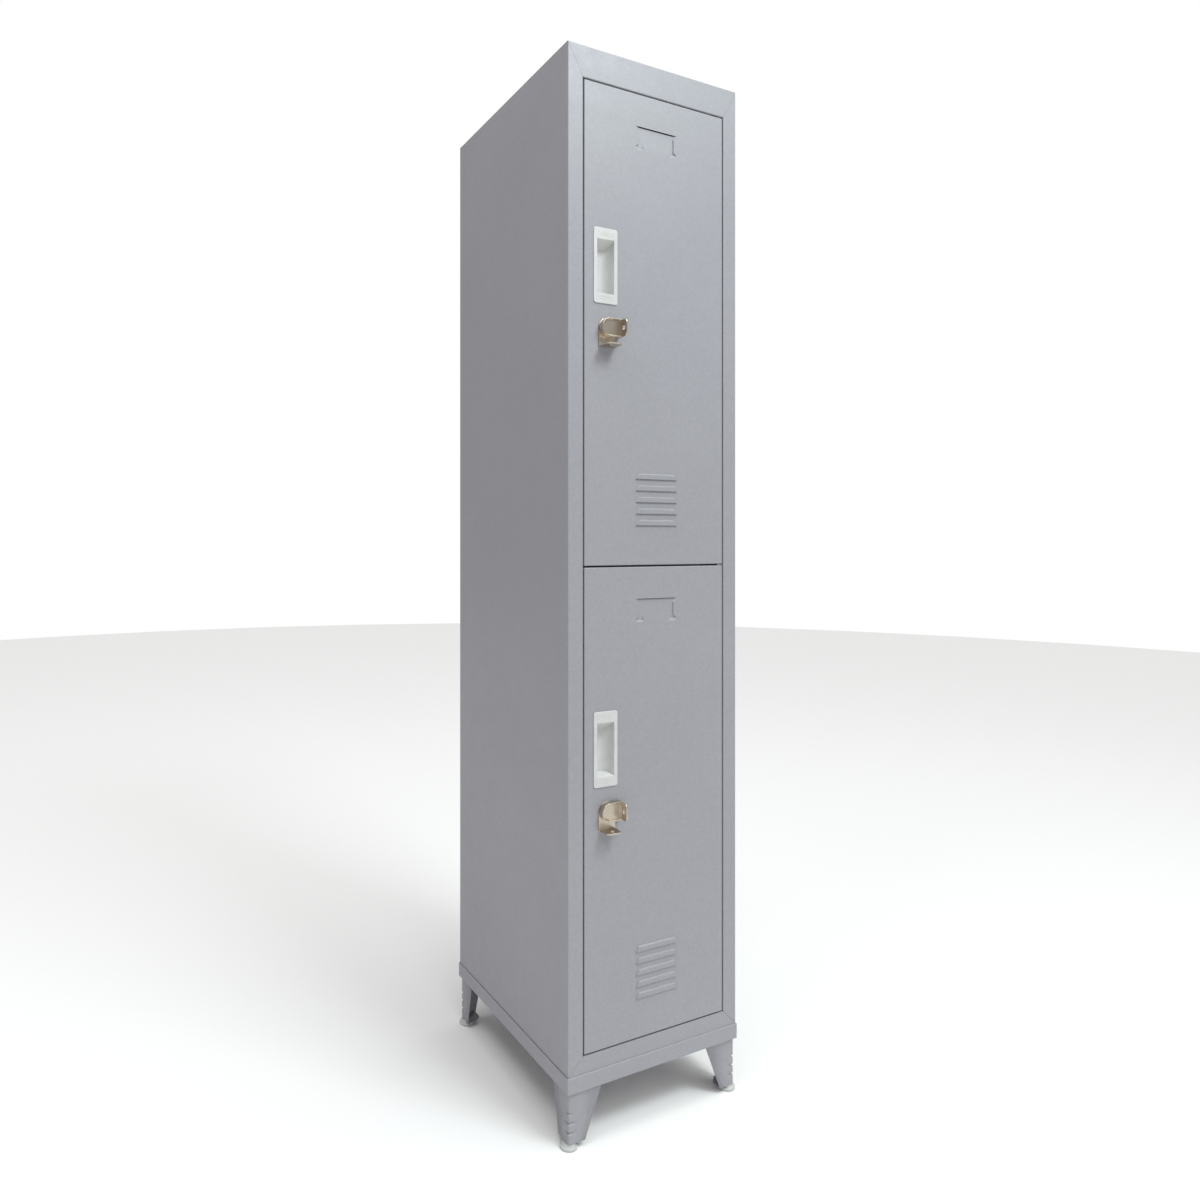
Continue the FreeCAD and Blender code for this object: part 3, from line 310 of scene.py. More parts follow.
class Workshop:
    """Holds the made materials and fits finished pieces to the frame."""

    def __init__(self) -> None:
        """Make each slot's material once."""
        self.materials = {slot: finish.material() for slot, finish in FINISHES.items()}

    def coat(self, mesh: bpy.types.Mesh, slot: Slot) -> None:
        """Put a slot's material on a mesh."""
        mesh.materials.clear()
        mesh.materials.append(self.materials[slot])

    def fit(self, piece: Piece, body: str, slot: Slot, nodes: Iterable[str] = ()) -> None:
        """Give a piece its finish, its body and the nodes that it stands for.

        Args:
            piece: The finished piece.
            body: The body that it rides on.
            slot: The record's material slot.
            nodes: The nodes that it replaces.
        """
        self.coat(piece.data, slot)
        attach(piece, body)
        for node in nodes:
            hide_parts(node)
        LOG.info("%s rides on %s in %s", piece.name, body, slot.value)

    def dress(self, node: str, slot: Slot) -> None:
        """Give a node that stays its slot's material."""
        self.coat(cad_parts[node].data, slot)
        LOG.info("%s stays, in %s", node, slot.value)


# ---- laying out meshes ----

def add_object(name: str, data: bpy.types.ID) -> Piece:
    """Add an object to the scene, at the frame's origin.

    Args:
        name: The object's name.
        data: Its mesh, lamp or camera.

    Returns:
        The object.
    """
    made = bpy.data.objects.new(name, data)
    bpy.context.scene.collection.objects.link(made)
    return made


def arc(centre: Flat, radius: float, start: float, end: float, steps: int) -> list[Flat]:
    """Points along an arc of so many chords between two angles in degrees, both ends among them."""
    turns = [math.radians(start + (end - start) * step / steps) for step in range(steps + 1)]
    return [(centre[0] + radius * math.cos(turn), centre[1] + radius * math.sin(turn)) for turn in turns]


def ring(centre: Flat, radius: float, steps: int) -> list[Flat]:
    """Points round a whole circle, without a doubled end."""
    return arc(centre, radius, 0, 360, steps)[:-1]


def box_outline(low_u: float, high_u: float, low_v: float, high_v: float) -> list[Flat]:
    """The four corners of a rectangle."""
    return [(low_u, low_v), (high_u, low_v), (high_u, high_v), (low_u, high_v)]


def round_outline(low_u: float, high_u: float, low_v: float, high_v: float, radius: float) -> list[Flat]:
    """A rectangle with rounded corners."""
    corners = [(low_u + radius, low_v + radius, 180), (high_u - radius, low_v + radius, 270),
               (high_u - radius, high_v - radius, 0), (low_u + radius, high_v - radius, 90)]
    return [point for u, v, start in corners for point in arc((u, v), radius, start, start + 90, 5)]


def mirrored(right: Sequence[Flat]) -> list[Flat]:
    """An outline's right half and its mirror image."""
    return [*right, *((-x, z) for x, z in reversed(right))]


def inside(point: Flat, loop: Sequence[Flat]) -> bool:
    """Whether a point lies in a closed loop."""
    sides = zip(loop, [*loop[1:], loop[0]])
    return sum((a[1] > point[1]) != (b[1] > point[1]) and point[0] < a[0] + (point[1] - a[1])
               / (b[1] - a[1]) * (b[0] - a[0]) for a, b in sides) % 2 == 1


def filled(outline: Sequence[Flat], holes: Sequence[Sequence[Flat]]) -> tuple[list[Flat], list[list[int]]]:
    """Fill an outline and leave its holes open.

    Args:
        outline: The outer points.
        holes: The points of each hole.

    Returns:
        The points, and the faces as numbers of points.
    """
    points: list[Vector] = []
    edges = []
    for loop in [outline, *holes]:
        start, count = len(points), len(loop)
        points += [Vector(point) for point in loop]
        edges += [(start + index, start + (index + 1) % count) for index in range(count)]
    made = delaunay_2d_cdt(points, edges, [], 0, 1e-7)
    spots = [(point.x, point.y) for point in made[0]]
    faces = []
    for face in made[2]:
        middle = (sum(spots[i][0] for i in face) / 3, sum(spots[i][1] for i in face) / 3)
        if inside(middle, outline) and not any(inside(middle, hole) for hole in holes):
            faces.append(list(face))
    return spots, faces


def every_fold(a: Vector, b: Vector) -> float:
    """Weigh every hard edge alike."""
    return 1.0


class Cage:
    """A coarse mesh being laid out, in millimetres from a zero of the piece's own."""

    def __init__(self, zero: Vector) -> None:
        """Start an empty cage, its zero given in metres in the frame."""
        self.zero = zero
        self.mesh = bmesh.new()

    def face(self, spots: Iterable[Spot]) -> None:
        """Add one face."""
        corners = [self.mesh.verts.new(self.zero + Vector(spot) * MM) for spot in spots]
        self.mesh.faces.new(corners)

    def bands(self, rows: Sequence[Sequence[Spot]], closed: bool = False) -> None:
        """Add the faces between rows of equal length.

        Args:
            rows: The rows of spots.
            closed: Whether each row's end joins its start.
        """
        for near, far in zip(rows, rows[1:]):
            count = len(near) if closed else len(near) - 1
            for index in range(count):
                after = (index + 1) % len(near)
                self.face((near[index], near[after], far[after], far[index]))

    def hoops(self, lie: Lie, *hoops: tuple[Sequence[Flat], float]) -> None:
        """Add the faces between closed outlines, each given with its level."""
        self.bands([lie.row(outline, level) for outline, level in hoops], closed=True)

    def plate(self, lie: Lie, level: float, outline: Sequence[Flat],
              holes: Sequence[Sequence[Flat]] = ()) -> None:
        """Add a flat face with holes.

        Args:
            lie: How the outline stands.
            level: Its level.
            outline: Its points.
            holes: The points of each hole.
        """
        points, faces = filled(outline, holes)
        for face in faces:
            self.face(lie.row([points[index] for index in face], level))

    def slab(self, lie: Lie, low: float, high: float, outline: Sequence[Flat],
             holes: Sequence[Sequence[Flat]] = ()) -> None:
        """Add a closed flat slab with holes through it.

        Args:
            lie: How the outline stands.
            low: Its lower level.
            high: Its upper level.
            outline: Its points.
            holes: The points of each hole.
        """
        for level in (low, high):
            self.plate(lie, level, outline, holes)
        for loop in [outline, *holes]:
            self.hoops(lie, (loop, low), (loop, high))

    def finished(self, name: str, front: Spot | None = None, fold: Weigh | None = None) -> Piece:
        """Turn the cage into an object.

        Args:
            name: The piece's name.
            front: For an open sheet, the side that its farthest face looks to.
            fold: Gives the bevel weight of a hard edge, from its ends in millimetres.

        Returns:
            The object, at the frame's origin.
        """
        bmesh.ops.remove_doubles(self.mesh, verts=self.mesh.verts, dist=0.004 * MM)
        bmesh.ops.dissolve_limit(self.mesh, angle_limit=math.radians(0.3), use_dissolve_boundaries=False,
                                 verts=[], edges=self.mesh.edges, delimit=set())
        bmesh.ops.recalc_face_normals(self.mesh, faces=self.mesh.faces)
        self.mesh.faces.ensure_lookup_table()
        if front is not None:
            toward = Vector(front)
            farthest = max(self.mesh.faces, key=lambda face: (
                round(face.calc_center_median().dot(toward), 5), face.calc_area()))
            if farthest.normal.dot(toward) < 0:
                bmesh.ops.reverse_faces(self.mesh, faces=self.mesh.faces)
        weights = self.mesh.edges.layers.float.new("bevel_weight_edge")
        for edge in self.mesh.edges:
            if len(edge.link_faces) != 2 or edge.calc_face_angle(0) < HARD_EDGE:
                continue
            ends = [(vert.co - self.zero) / MM for vert in edge.verts]
            weight = fold(ends[0], ends[1]) if fold else 0.0
            edge[weights] = weight
            edge.smooth = weight > 0 or fold is None
        for face in self.mesh.faces:
            face.smooth = True
        mesh = bpy.data.meshes.new(name)
        self.mesh.to_mesh(mesh)
        self.mesh.free()
        return add_object(name, mesh)

    def shaped(self, name: str, width: float, steps: int = 4, front: Spot | None = None,
               fold: Weigh = every_fold, wall: float = SHEET) -> Piece:
        """Turn a closed cage into a solid piece, or an open one with a front into a folded sheet.

        Args:
            name: The piece's name.
            width: The rounding of its edges or folds in millimetres.
            steps: The facets across an edge.
            front: The side that a sheet's farthest face looks to.
            fold: Gives the bevel weight of a sheet's folds.
            wall: The sheet's thickness in millimetres.

        Returns:
            The piece.
        """
        piece = self.finished(name, front, fold if front else None)
        round_edges(piece, width, steps, weighed=front is not None)
        if front:
            thicken(piece, wall)
        add_modifier(piece, "WEIGHTED_NORMAL", {"keep_sharp": True, "weight": 100})
        return piece


def add_modifier(piece: Piece, kind: str, settings: dict) -> None:
    """Add a modifier.

    Args:
        piece: The piece.
        kind: The modifier's type name.
        settings: Values by attribute name.
    """
    stage = piece.modifiers.new(kind.lower(), kind)
    for name, value in settings.items():
        setattr(stage, name, value)


def round_edges(piece: Piece, width: float, steps: int, weighed: bool = False) -> None:
    """Round a piece's hard edges, or only its weighed ones, in so many facets by a width in millimetres."""
    add_modifier(piece, "BEVEL", {
        "width": width * MM, "segments": steps, "limit_method": "WEIGHT" if weighed else "ANGLE",
        "angle_limit": HARD_EDGE, "use_clamp_overlap": not weighed, "miter_outer": "MITER_ARC"})


def thicken(piece: Piece, wall: float) -> None:
    """Give an open sheet its thickness, behind its face, in millimetres."""
    add_modifier(piece, "SOLIDIFY", {"thickness": wall * MM, "offset": -1, "use_even_offset": True,
                                     "use_quality_normals": True})


def settle(piece: Piece, place: Matrix) -> None:
    """Apply a piece's stack, then its place.

    Args:
        piece: A piece made at its own origin.
        place: Its place in the frame.
    """
    bpy.context.view_layer.update()
    ready = piece.evaluated_get(bpy.context.evaluated_depsgraph_get())
    mesh = bpy.data.meshes.new_from_object(ready)
    mesh.transform(place)
    piece.modifiers.clear()
    piece.data = mesh


# ---- the cabinet ----

@dataclass
class Cabinet:
    """The folded and welded body: sides, top, bottom, back and shelf."""

    shop: Workshop
    fold: float = 1.6
    base_fold: float = 0.3
    back_lip: float = 15
    stile: float = 31
    top_rail: float = 56
    bottom_rail: float = 30
    rebate: float = 20
    stop: float = 12
    flange: float = 12
    seam: float = 0.25
    wall_hole: float = 3.5
    wall_hole_x: float = 125
    wall_hole_drop: float = 80

    def __post_init__(self) -> None:
        """Read the body's planes from the frame."""
        low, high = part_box("left_side_panel")
        self.half = -low.x / MM
        self.front = low.y / MM
        self.back = high.y / MM
        self.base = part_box("bottom_panel")[0].z / MM
        self.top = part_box("top_panel")[1].z / MM
        self.open_half = self.half - self.stile
        self.open_high = self.top - self.top_rail
        self.open_low = self.base + self.bottom_rail
        self.stop_y = self.front + self.rebate

    def side(self, hand: int) -> Piece:
        """Fold a side wall.

        Args:
            hand: -1 for the left wall and 1 for the right.

        Returns:
            The wall.
        """
        low, high = self.base + SHEET, self.top - SHEET
        gap = self.seam
        stop_half = self.open_half - self.stop
        stations = [
            (self.half - self.back_lip, self.back, low, high),
            (self.half, self.back, low, high),
            (self.half, self.front, low, high),
            (self.open_half, self.front, self.open_low + gap, self.open_high - gap),
            (self.open_half, self.stop_y, self.open_low + gap, self.open_high - gap),
            (stop_half, self.stop_y, self.open_low + gap, self.open_high - gap),
        ]
        cage = Cage(Vector())
        cage.bands([[(x * hand, y, bottom) for x, y, bottom, _ in stations],
                    [(x * hand, y, top) for x, y, _, top in stations]])
        return cage.shaped("right_side_wall" if hand > 0 else "left_side_wall", self.fold, 4, (hand, 0, 0))

    def end(self, up: int) -> Piece:
        """Fold the top or bottom panel with its rail.

        Args:
            up: 1 for the top and -1 for the bottom.

        Returns:
            The panel.
        """
        plate, rail = (self.top, self.open_high) if up > 0 else (self.base, self.open_low)
        gap = self.seam
        stop_half = self.open_half - self.stop
        stations = [
            (self.half, self.back, plate),
            (self.half, self.front, plate),
            (self.open_half - gap, self.front, rail),
            (self.open_half - gap, self.stop_y, rail),
            (stop_half - gap, self.stop_y, rail - self.stop * up),
        ]
        cage = Cage(Vector())
        cage.bands([[(-x, y, z) for x, y, z in stations], [(x, y, z) for x, y, z in stations]])
        name, fold = ("top", self.fold) if up > 0 else ("bottom", self.base_fold)
        piece = cage.shaped(f"{name}_plate", fold, 4, (0, 0, up))
        self.flanges(f"{name}_flanges", plate - SHEET * up, plate - (SHEET + self.flange) * up)
        return piece

    def flanges(self, name: str, near: float, far: float) -> None:
        """Add the welded flanges inside a plate's edges.

        Args:
            name: The piece's name.
            near: The plate's inner face.
            far: The flanges' free edge.
        """
        inner = self.half - SHEET
        start, end = self.stop_y + self.flange, self.back - SHEET * 2 - self.flange
        low, high = sorted((near, far))
        cage = Cage(Vector())
        for hand in (-1, 1):
            levels = sorted((inner * hand, (inner - SHEET) * hand))
            cage.slab(Lie.SIDE, *levels, box_outline(start, end, low, high))
        rear = self.back - SHEET * 2
        cage.slab(Lie.FACE, rear - SHEET, rear, box_outline(-self.open_half, self.open_half, low, high))
        self.shop.fit(cage.shaped(name, 0.2, 2), "cabinet", Slot.POWDER)

    def rear(self) -> Piece:
        """Cut the flat back sheet with its wall fixing holes.

        Returns:
            The finished piece.
        """
        edge = self.half - self.fold
        level = self.top - self.wall_hole_drop
        holes = [ring((self.wall_hole_x * hand, level), self.wall_hole, 20) for hand in (-1, 1)]
        cage = Cage(Vector())
        cage.slab(Lie.FACE, self.back - SHEET * 2, self.back - SHEET,
                  box_outline(-edge, edge, self.base + SHEET, self.top - SHEET), holes)
        return cage.shaped("back_sheet", 0.15, 2)

    def shelf(self) -> Piece:
        """Fold the shelf between the compartments.

        Returns:
            The finished piece.
        """
        low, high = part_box("middle_shelf")
        top, bottom = high.z / MM, low.z / MM
        front, rear, wide = low.y / MM, high.y / MM, high.x / MM
        stations = [(rear, top), (front, top), (front, bottom), (front + self.flange, bottom)]
        cage = Cage(Vector())
        cage.bands([[(-wide, y, z) for y, z in stations], [(wide, y, z) for y, z in stations]])
        return cage.shaped("shelf_plate", self.fold, 4, (0, 0, 1))

    def build(self) -> None:
        """Make and fit the body's sheets."""
        for hand, name in ((-1, "left"), (1, "right")):
            self.shop.fit(self.side(hand), "cabinet", Slot.POWDER, [f"{name}_side_panel"])
        for up, name in ((1, "top"), (-1, "bottom")):
            self.shop.fit(self.end(up), "cabinet", Slot.POWDER, [f"{name}_panel"])
        self.shop.fit(self.rear(), "cabinet", Slot.POWDER, ["back_panel"])
        self.shop.fit(self.shelf(), "cabinet", Slot.POWDER, ["middle_shelf"])


@dataclass
class Skirt:
    """The folded band under the body, with its top flange."""

    shop: Workshop
    fold: float = 1.5
    flange: float = 32

    def build(self) -> None:
        """Fold the band round the four sides."""
        low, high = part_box("base_skirt")
        x, y_front, y_back = high.x / MM, low.y / MM, high.y / MM
        bottom, top = low.z / MM, high.z / MM
        outer = box_outline(-x, x, y_front, y_back)
        inset = self.flange
        inner = box_outline(-x + inset, x - inset, y_front + inset, y_back - inset)
        cage = Cage(Vector())
        cage.hoops(Lie.PLAN, (outer, bottom), (outer, top), (inner, top))
        piece = cage.shaped("skirt_band", self.fold, 4, (0, -1, 0))
        self.shop.fit(piece, "cabinet", Slot.POWDER, ["base_skirt"])


# ---- legs and feet ----

@dataclass
class Leg:
    """A pressed corner leg: tapered arms, three beads across its corner, and two plates."""

    shop: Workshop
    corner: str
    turn: int
    wide: float = 70
    side_wide: float = 52
    narrow: float = 34
    plate_cut: float = 14
    shoulder: float = 90
    wall: float = 1.2
    bend: float = 4
    beads: tuple[Flat, ...] = ((19.5, 17), (36.5, 17), (53.5, 10))
    bead_half: float = 3.0
    bead_deep: float = 2.6

    def depth(self, reach: float, level: float) -> float:
        """How far a bead presses the sheet in, at a height and a reach from the corner along an arm."""
        falls = [(1 - ((level - z) / self.bead_half) ** 2, 1 - (reach / far) ** 2) for z, far in self.beads]
        return max(self.bead_deep * max(0.0, across) * max(0.0, along) for across, along in falls)

    def levels(self, tall: float) -> list[float]:
        """The heights of the sheet's rows, from the leg's underside up."""
        steps = [self.bead_half * share for share in (-1.2, -1, -0.7, -0.35, 0, 0.35, 0.7, 1, 1.2)]
        return [0.0, *(middle + step for middle, _ in self.beads for step in steps), self.shoulder, tall]

    def row(self, level: float, widths: Flat) -> list[Spot]:
        """One row of the sheet, from one arm's edge round the corner to the other's.

        Args:
            level: The row's height.
            widths: The arms' widths at the top.

        Returns:
            Its spots, with the leg's outer faces on x = 0 and y = 0.
        """
        share = min(1.0, level / self.shoulder)
        edges = [self.narrow + (wide - self.narrow) * share for wide in widths]
        arm = [(reach, self.depth(reach, level)) for reach in (18.0, 17.0, 15.0, 12.5, 10.0, 9.0, 6.5)]
        bent = arc((self.bend, self.bend), self.bend - self.depth(0, level), 270, 180, 6)
        plan = [(edges[0], 0.0), *arm, *bent, *((y, x) for x, y in reversed(arm)), (0.0, edges[1])]
        return [(x, y, level) for x, y in plan]

    def build(self) -> None:
        """Press the leg and stand it at its corner."""
        low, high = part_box(f"leg_{self.corner}")
        tall = (high.z - low.z) / MM
        across = self.wide if low.y < 0 else self.side_wide
        widths = (across, self.side_wide) if self.turn in (0, 180) else (self.side_wide, across)
        cage = Cage(Vector())
        cage.bands([self.row(level, widths) for level in self.levels(tall)])
        short = self.narrow - self.plate_cut
        for level, corners in ((0.0, [(short, self.narrow), (self.narrow, short)]), (tall, [widths])):
            cage.plate(Lie.PLAN, level, [(x, y) for x, y, _ in self.row(level, widths)] + corners)
        piece = cage.finished(f"leg_pressing_{self.corner}", (-1, 0, 0), lambda a, b: 0.0)
        thicken(piece, self.wall)
        x = low.x if self.turn in (0, 270) else high.x
        y = low.y if self.turn in (0, 90) else high.y
        settle(piece, Matrix.Translation((x, y, low.z)) @ Matrix.Rotation(math.radians(self.turn), 4, "Z"))
        self.shop.fit(piece, "cabinet", Slot.POWDER, [f"leg_{self.corner}"])


@dataclass
class Foot:
    """A two-tier moulded levelling pad."""

    shop: Workshop
    corner: str
    rim: float = 16
    tier: float = 11.5
    bore: float = 3
    step_share: float = 0.6
    facets: int = 48

    def build(self) -> None:
        """Turn the pad's profile, from top to bottom, and stand it on the floor."""
        low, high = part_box(f"foot_pad_{self.corner}")
        middle = (low + high) / 2
        tall = (high.z - low.z) / MM
        step = tall * self.step_share
        rim, tier, bore = self.rim, self.tier, self.bore
        profile = [
            (0.0, tall - 0.8), (bore + 0.2, tall - 0.8), (bore + 1.0, tall), (tier - 0.9, tall),
            (tier - 0.25, tall - 0.35), (tier, tall - 1.1), (tier + 0.3, step + 0.5),
            (tier + 0.9, step + 0.1), (rim - 2.0, step - 0.3), (rim - 0.7, step - 0.9),
            (rim - 0.1, step - 2.0), (rim, step - 3.0), (rim, 1.6), (rim - 0.4, 0.6), (rim - 1.4, 0.0),
            (0.0, 0.0),
        ]
        mesh = bpy.data.meshes.new(f"foot_moulding_{self.corner}")
        spots = [(reach * MM, 0.0, height * MM) for reach, height in profile]
        mesh.from_pydata(spots, [(index, index + 1) for index in range(len(spots) - 1)], [])
        piece = add_object(mesh.name, mesh)
        add_modifier(piece, "SCREW", {"steps": self.facets, "render_steps": self.facets,
                                      "use_merge_vertices": True, "merge_threshold": 0.002 * MM,
                                      "use_smooth_shade": True})
        round_edges(piece, 0.25, 2)
        settle(piece, Matrix.Translation((middle.x, middle.y, 0)))
        self.shop.fit(piece, f"foot_{self.corner}", Slot.FOOT, [f"foot_pad_{self.corner}"])
        self.shop.dress(f"foot_stud_{self.corner}", Slot.ZINC)


# ---- doors ----

@dataclass
class Louver:
    """One pressed hood with a downward mouth, measured up from its mouth."""

    mouth_half: float = 46.5
    crown_half: float = 40.5
    tall: float = 10
    end_slope: float = 3.0

    def section(self) -> list[Flat]:
        """The hood's line from crown to mouth, as (height, distance in front of the door)."""
        return [(self.tall, 0.0), (8.9, 1.5), (8.0, 2.2), (0.0, 2.3)]

    def base_half(self, height: float) -> float:
        """Half the hood's width on the door at a height."""
        return self.mouth_half - (self.mouth_half - self.crown_half) * height / self.tall

    def outline(self, mouth: float) -> list[Flat]:
        """The hole that a hood covers in the door's face, its mouth at a height."""
        return mirrored([(self.base_half(height), mouth + height) for height, _ in reversed(self.section())])

    def lay(self, cage: Cage, mouth: float) -> None:
        """Add the hood's faces to a door's cage.

        Args:
            cage: The door's cage.
            mouth: The height of its mouth on the door.
        """
        rows = []
        for height, proud in self.section():
            base = self.base_half(height)
            near = base - self.end_slope * proud / 5
            z = mouth + height
            rows.append([(-base, 0.0, z), (-near, -proud, z), (near, -proud, z), (base, 0.0, z)])
        crown, *others = rows
        cage.face((crown[0], crown[3], others[0][2], others[0][1]))
        cage.face((crown[0], others[0][1], others[0][0]))
        cage.face((crown[3], others[0][3], others[0][2]))
        cage.bands(others)


@dataclass
class LabelPress:
    """The pressed card holder: a slot along its top, side channels and sloped corners."""

    half: float = 46.5
    high: float = -58
    low: float = -100
    waist: float = 39.5
    ramp: float = 30
    ramp_tall: float = 12
    deep: float = 2.0
    slot: float = 0.8

    def outline(self) -> list[Flat]:
        """The pressing's edge on the door's face, from its top right corner."""
        right = [(self.half, self.high), (self.half, self.high - 6), (self.waist, self.high - 8),
                 (self.waist, self.low + 9.5), (self.half, self.low + 6.5), (self.half, self.low),
                 (self.ramp, self.low)]
        return mirrored(right)

    def lay(self, cage: Cage) -> None:
        """Add the pressing's walls and floor.

        Args:
            cage: The door's cage.
        """
        edge = Lie.FACE.row(self.outline(), 0.0)
        neck, toe, high, low = self.waist - 0.6, self.half - 4.5, self.high, self.low
        right = [(neck, high - self.slot), (neck, high - 6), (neck, high - 8), (neck, low + 9.8),
                 (toe, low + 7.8), (toe, low + 3.6), (self.ramp, low + 3.6)]
        thumb = (self.ramp - 1.0, self.low + self.ramp_tall)
        deep = Lie.FACE.row(mirrored(right), self.deep)
        middle = len(right) - 1
        for index in range(len(edge) - 1):
            if index != middle:
                cage.face((edge[index], edge[index + 1], deep[index + 1], deep[index]))
        ramp_right, ramp_left = Lie.FACE.row(mirrored([thumb]), self.deep)
        cage.face((edge[middle], edge[middle + 1], ramp_left, ramp_right))
        cage.face((edge[middle], ramp_right, deep[middle]))
        cage.face((edge[middle + 1], deep[middle + 1], ramp_left))
        cage.plate(Lie.FACE, self.deep, mirrored([*right, thumb]))


@dataclass
class Door:
    """A folded door pan with its louvers, card holder and stiffener."""

    shop: Workshop
    which: str
    fold: float = 1.6
    depth: float = 18
    lip: float = 8
    lip_margin: float = 3
    border: float = 8
    grip_x: float = -112.5
    grip_z: float = -323
    window_half_x: float = 20.5
    window_half_z: float = 50.5
    hasp_x: float = -110
    hasp_z: float = -432
    neck: float = 9
    louvers: int = 5
    louver_rise: float = 72
    louver_pitch: float = 21
    rib_inset: float = 96
    rib_wide: float = 56
    rib_flange: float = 12
    rib_deep: float = 13

    def __post_init__(self) -> None:
        """Read the door's planes from the frame."""
        low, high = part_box(f"{self.which}_door_panel")
        self.zero = Vector(((low.x + high.x) / 2, FACE_Y, high.z))
        self.half = (high.x - low.x) / 2 / MM
        self.tall = (high.z - low.z) / MM

    def window(self) -> list[Flat]:
        """The opening behind the pull."""
        return box_outline(self.grip_x - self.window_half_x, self.grip_x + self.window_half_x,
                           self.grip_z - self.window_half_z, self.grip_z + self.window_half_z)

    def mouths(self) -> list[float]:
        """The heights of the louvers' mouths."""
        return [-self.tall + self.louver_rise + self.louver_pitch * step for step in range(self.louvers)]

    def pan(self) -> Piece:
        """Fold the pan and press its features.

        Returns:
            The finished piece.
        """
        half, low, edge = self.half, -self.tall, self.border
        outer = box_outline(-half, half, low, 0)
        inner = box_outline(-half + edge, half - edge, low + edge, -edge)
        cage = Cage(self.zero)
        cage.hoops(Lie.FACE, (outer, self.depth), (outer, 0.0), (inner, 0.0))
        louver, label = Louver(), LabelPress()
        holes = [label.outline(), ring((self.hasp_x, self.hasp_z), self.neck, 24), self.window()]
        cage.plate(Lie.FACE, 0.0, inner, holes + [louver.outline(mouth) for mouth in self.mouths()])
        for mouth in self.mouths():
            louver.lay(cage, mouth)
        label.lay(cage)

        def weight(a: Vector, b: Vector) -> float:
            """Only the pan's own folds are rounded by the bevel."""
            return float(all(abs(abs(end.x) - half) < NEAR or min(abs(end.z), abs(end.z - low)) < NEAR
                             for end in (a, b)))

        return cage.shaped(f"{self.which}_door_pan", self.fold, 4, (0, -1, 0), weight)

    def lips(self) -> Piece:
        """Fold the returns behind the pan's long edges.

        Returns:
            The finished piece.
        """
        cage = Cage(self.zero)
        for hand in (-1, 1):
            sides = sorted(((self.half - SHEET / 2) * hand, (self.half - self.lip) * hand))
            cage.slab(Lie.FACE, self.depth - SHEET, self.depth,
                      box_outline(*sides, -self.tall + self.lip_margin, -self.lip_margin))
        return cage.shaped(f"{self.which}_door_returns", 0.3, 2)

    def rib(self) -> Piece:
        """Fold the hat-section stiffener.

        Returns:
            The finished piece.
        """
        low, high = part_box(f"{self.which}_door_stiffener")
        left = self.half - self.rib_inset
        right = left + self.rib_wide
        shin = self.rib_flange
        deep = SHEET + self.rib_deep
        path = [(left, SHEET), (left + shin, SHEET), (left + shin, deep), (right - shin, deep),
                (right - shin, SHEET), (right, SHEET)]
        bottom, top = ((level - self.zero.z) / MM for level in (low.z, high.z))
        back = [(x, y + SHEET) for x, y in path]
        cage = Cage(self.zero)
        cage.bands([[(x, y, bottom) for x, y in back], [(x, y, top) for x, y in back]])
        return cage.shaped(f"{self.which}_door_rib", self.fold, 3, (0, 1, 0))

    def build(self) -> None:
        """Make and fit the door's sheets."""
        body = f"{self.which}_door"
        self.shop.fit(self.pan(), body, Slot.POWDER, [f"{self.which}_door_panel"])
        self.shop.fit(self.lips(), body, Slot.POWDER)
        self.shop.fit(self.rib(), body, Slot.POWDER, [f"{self.which}_door_stiffener"])


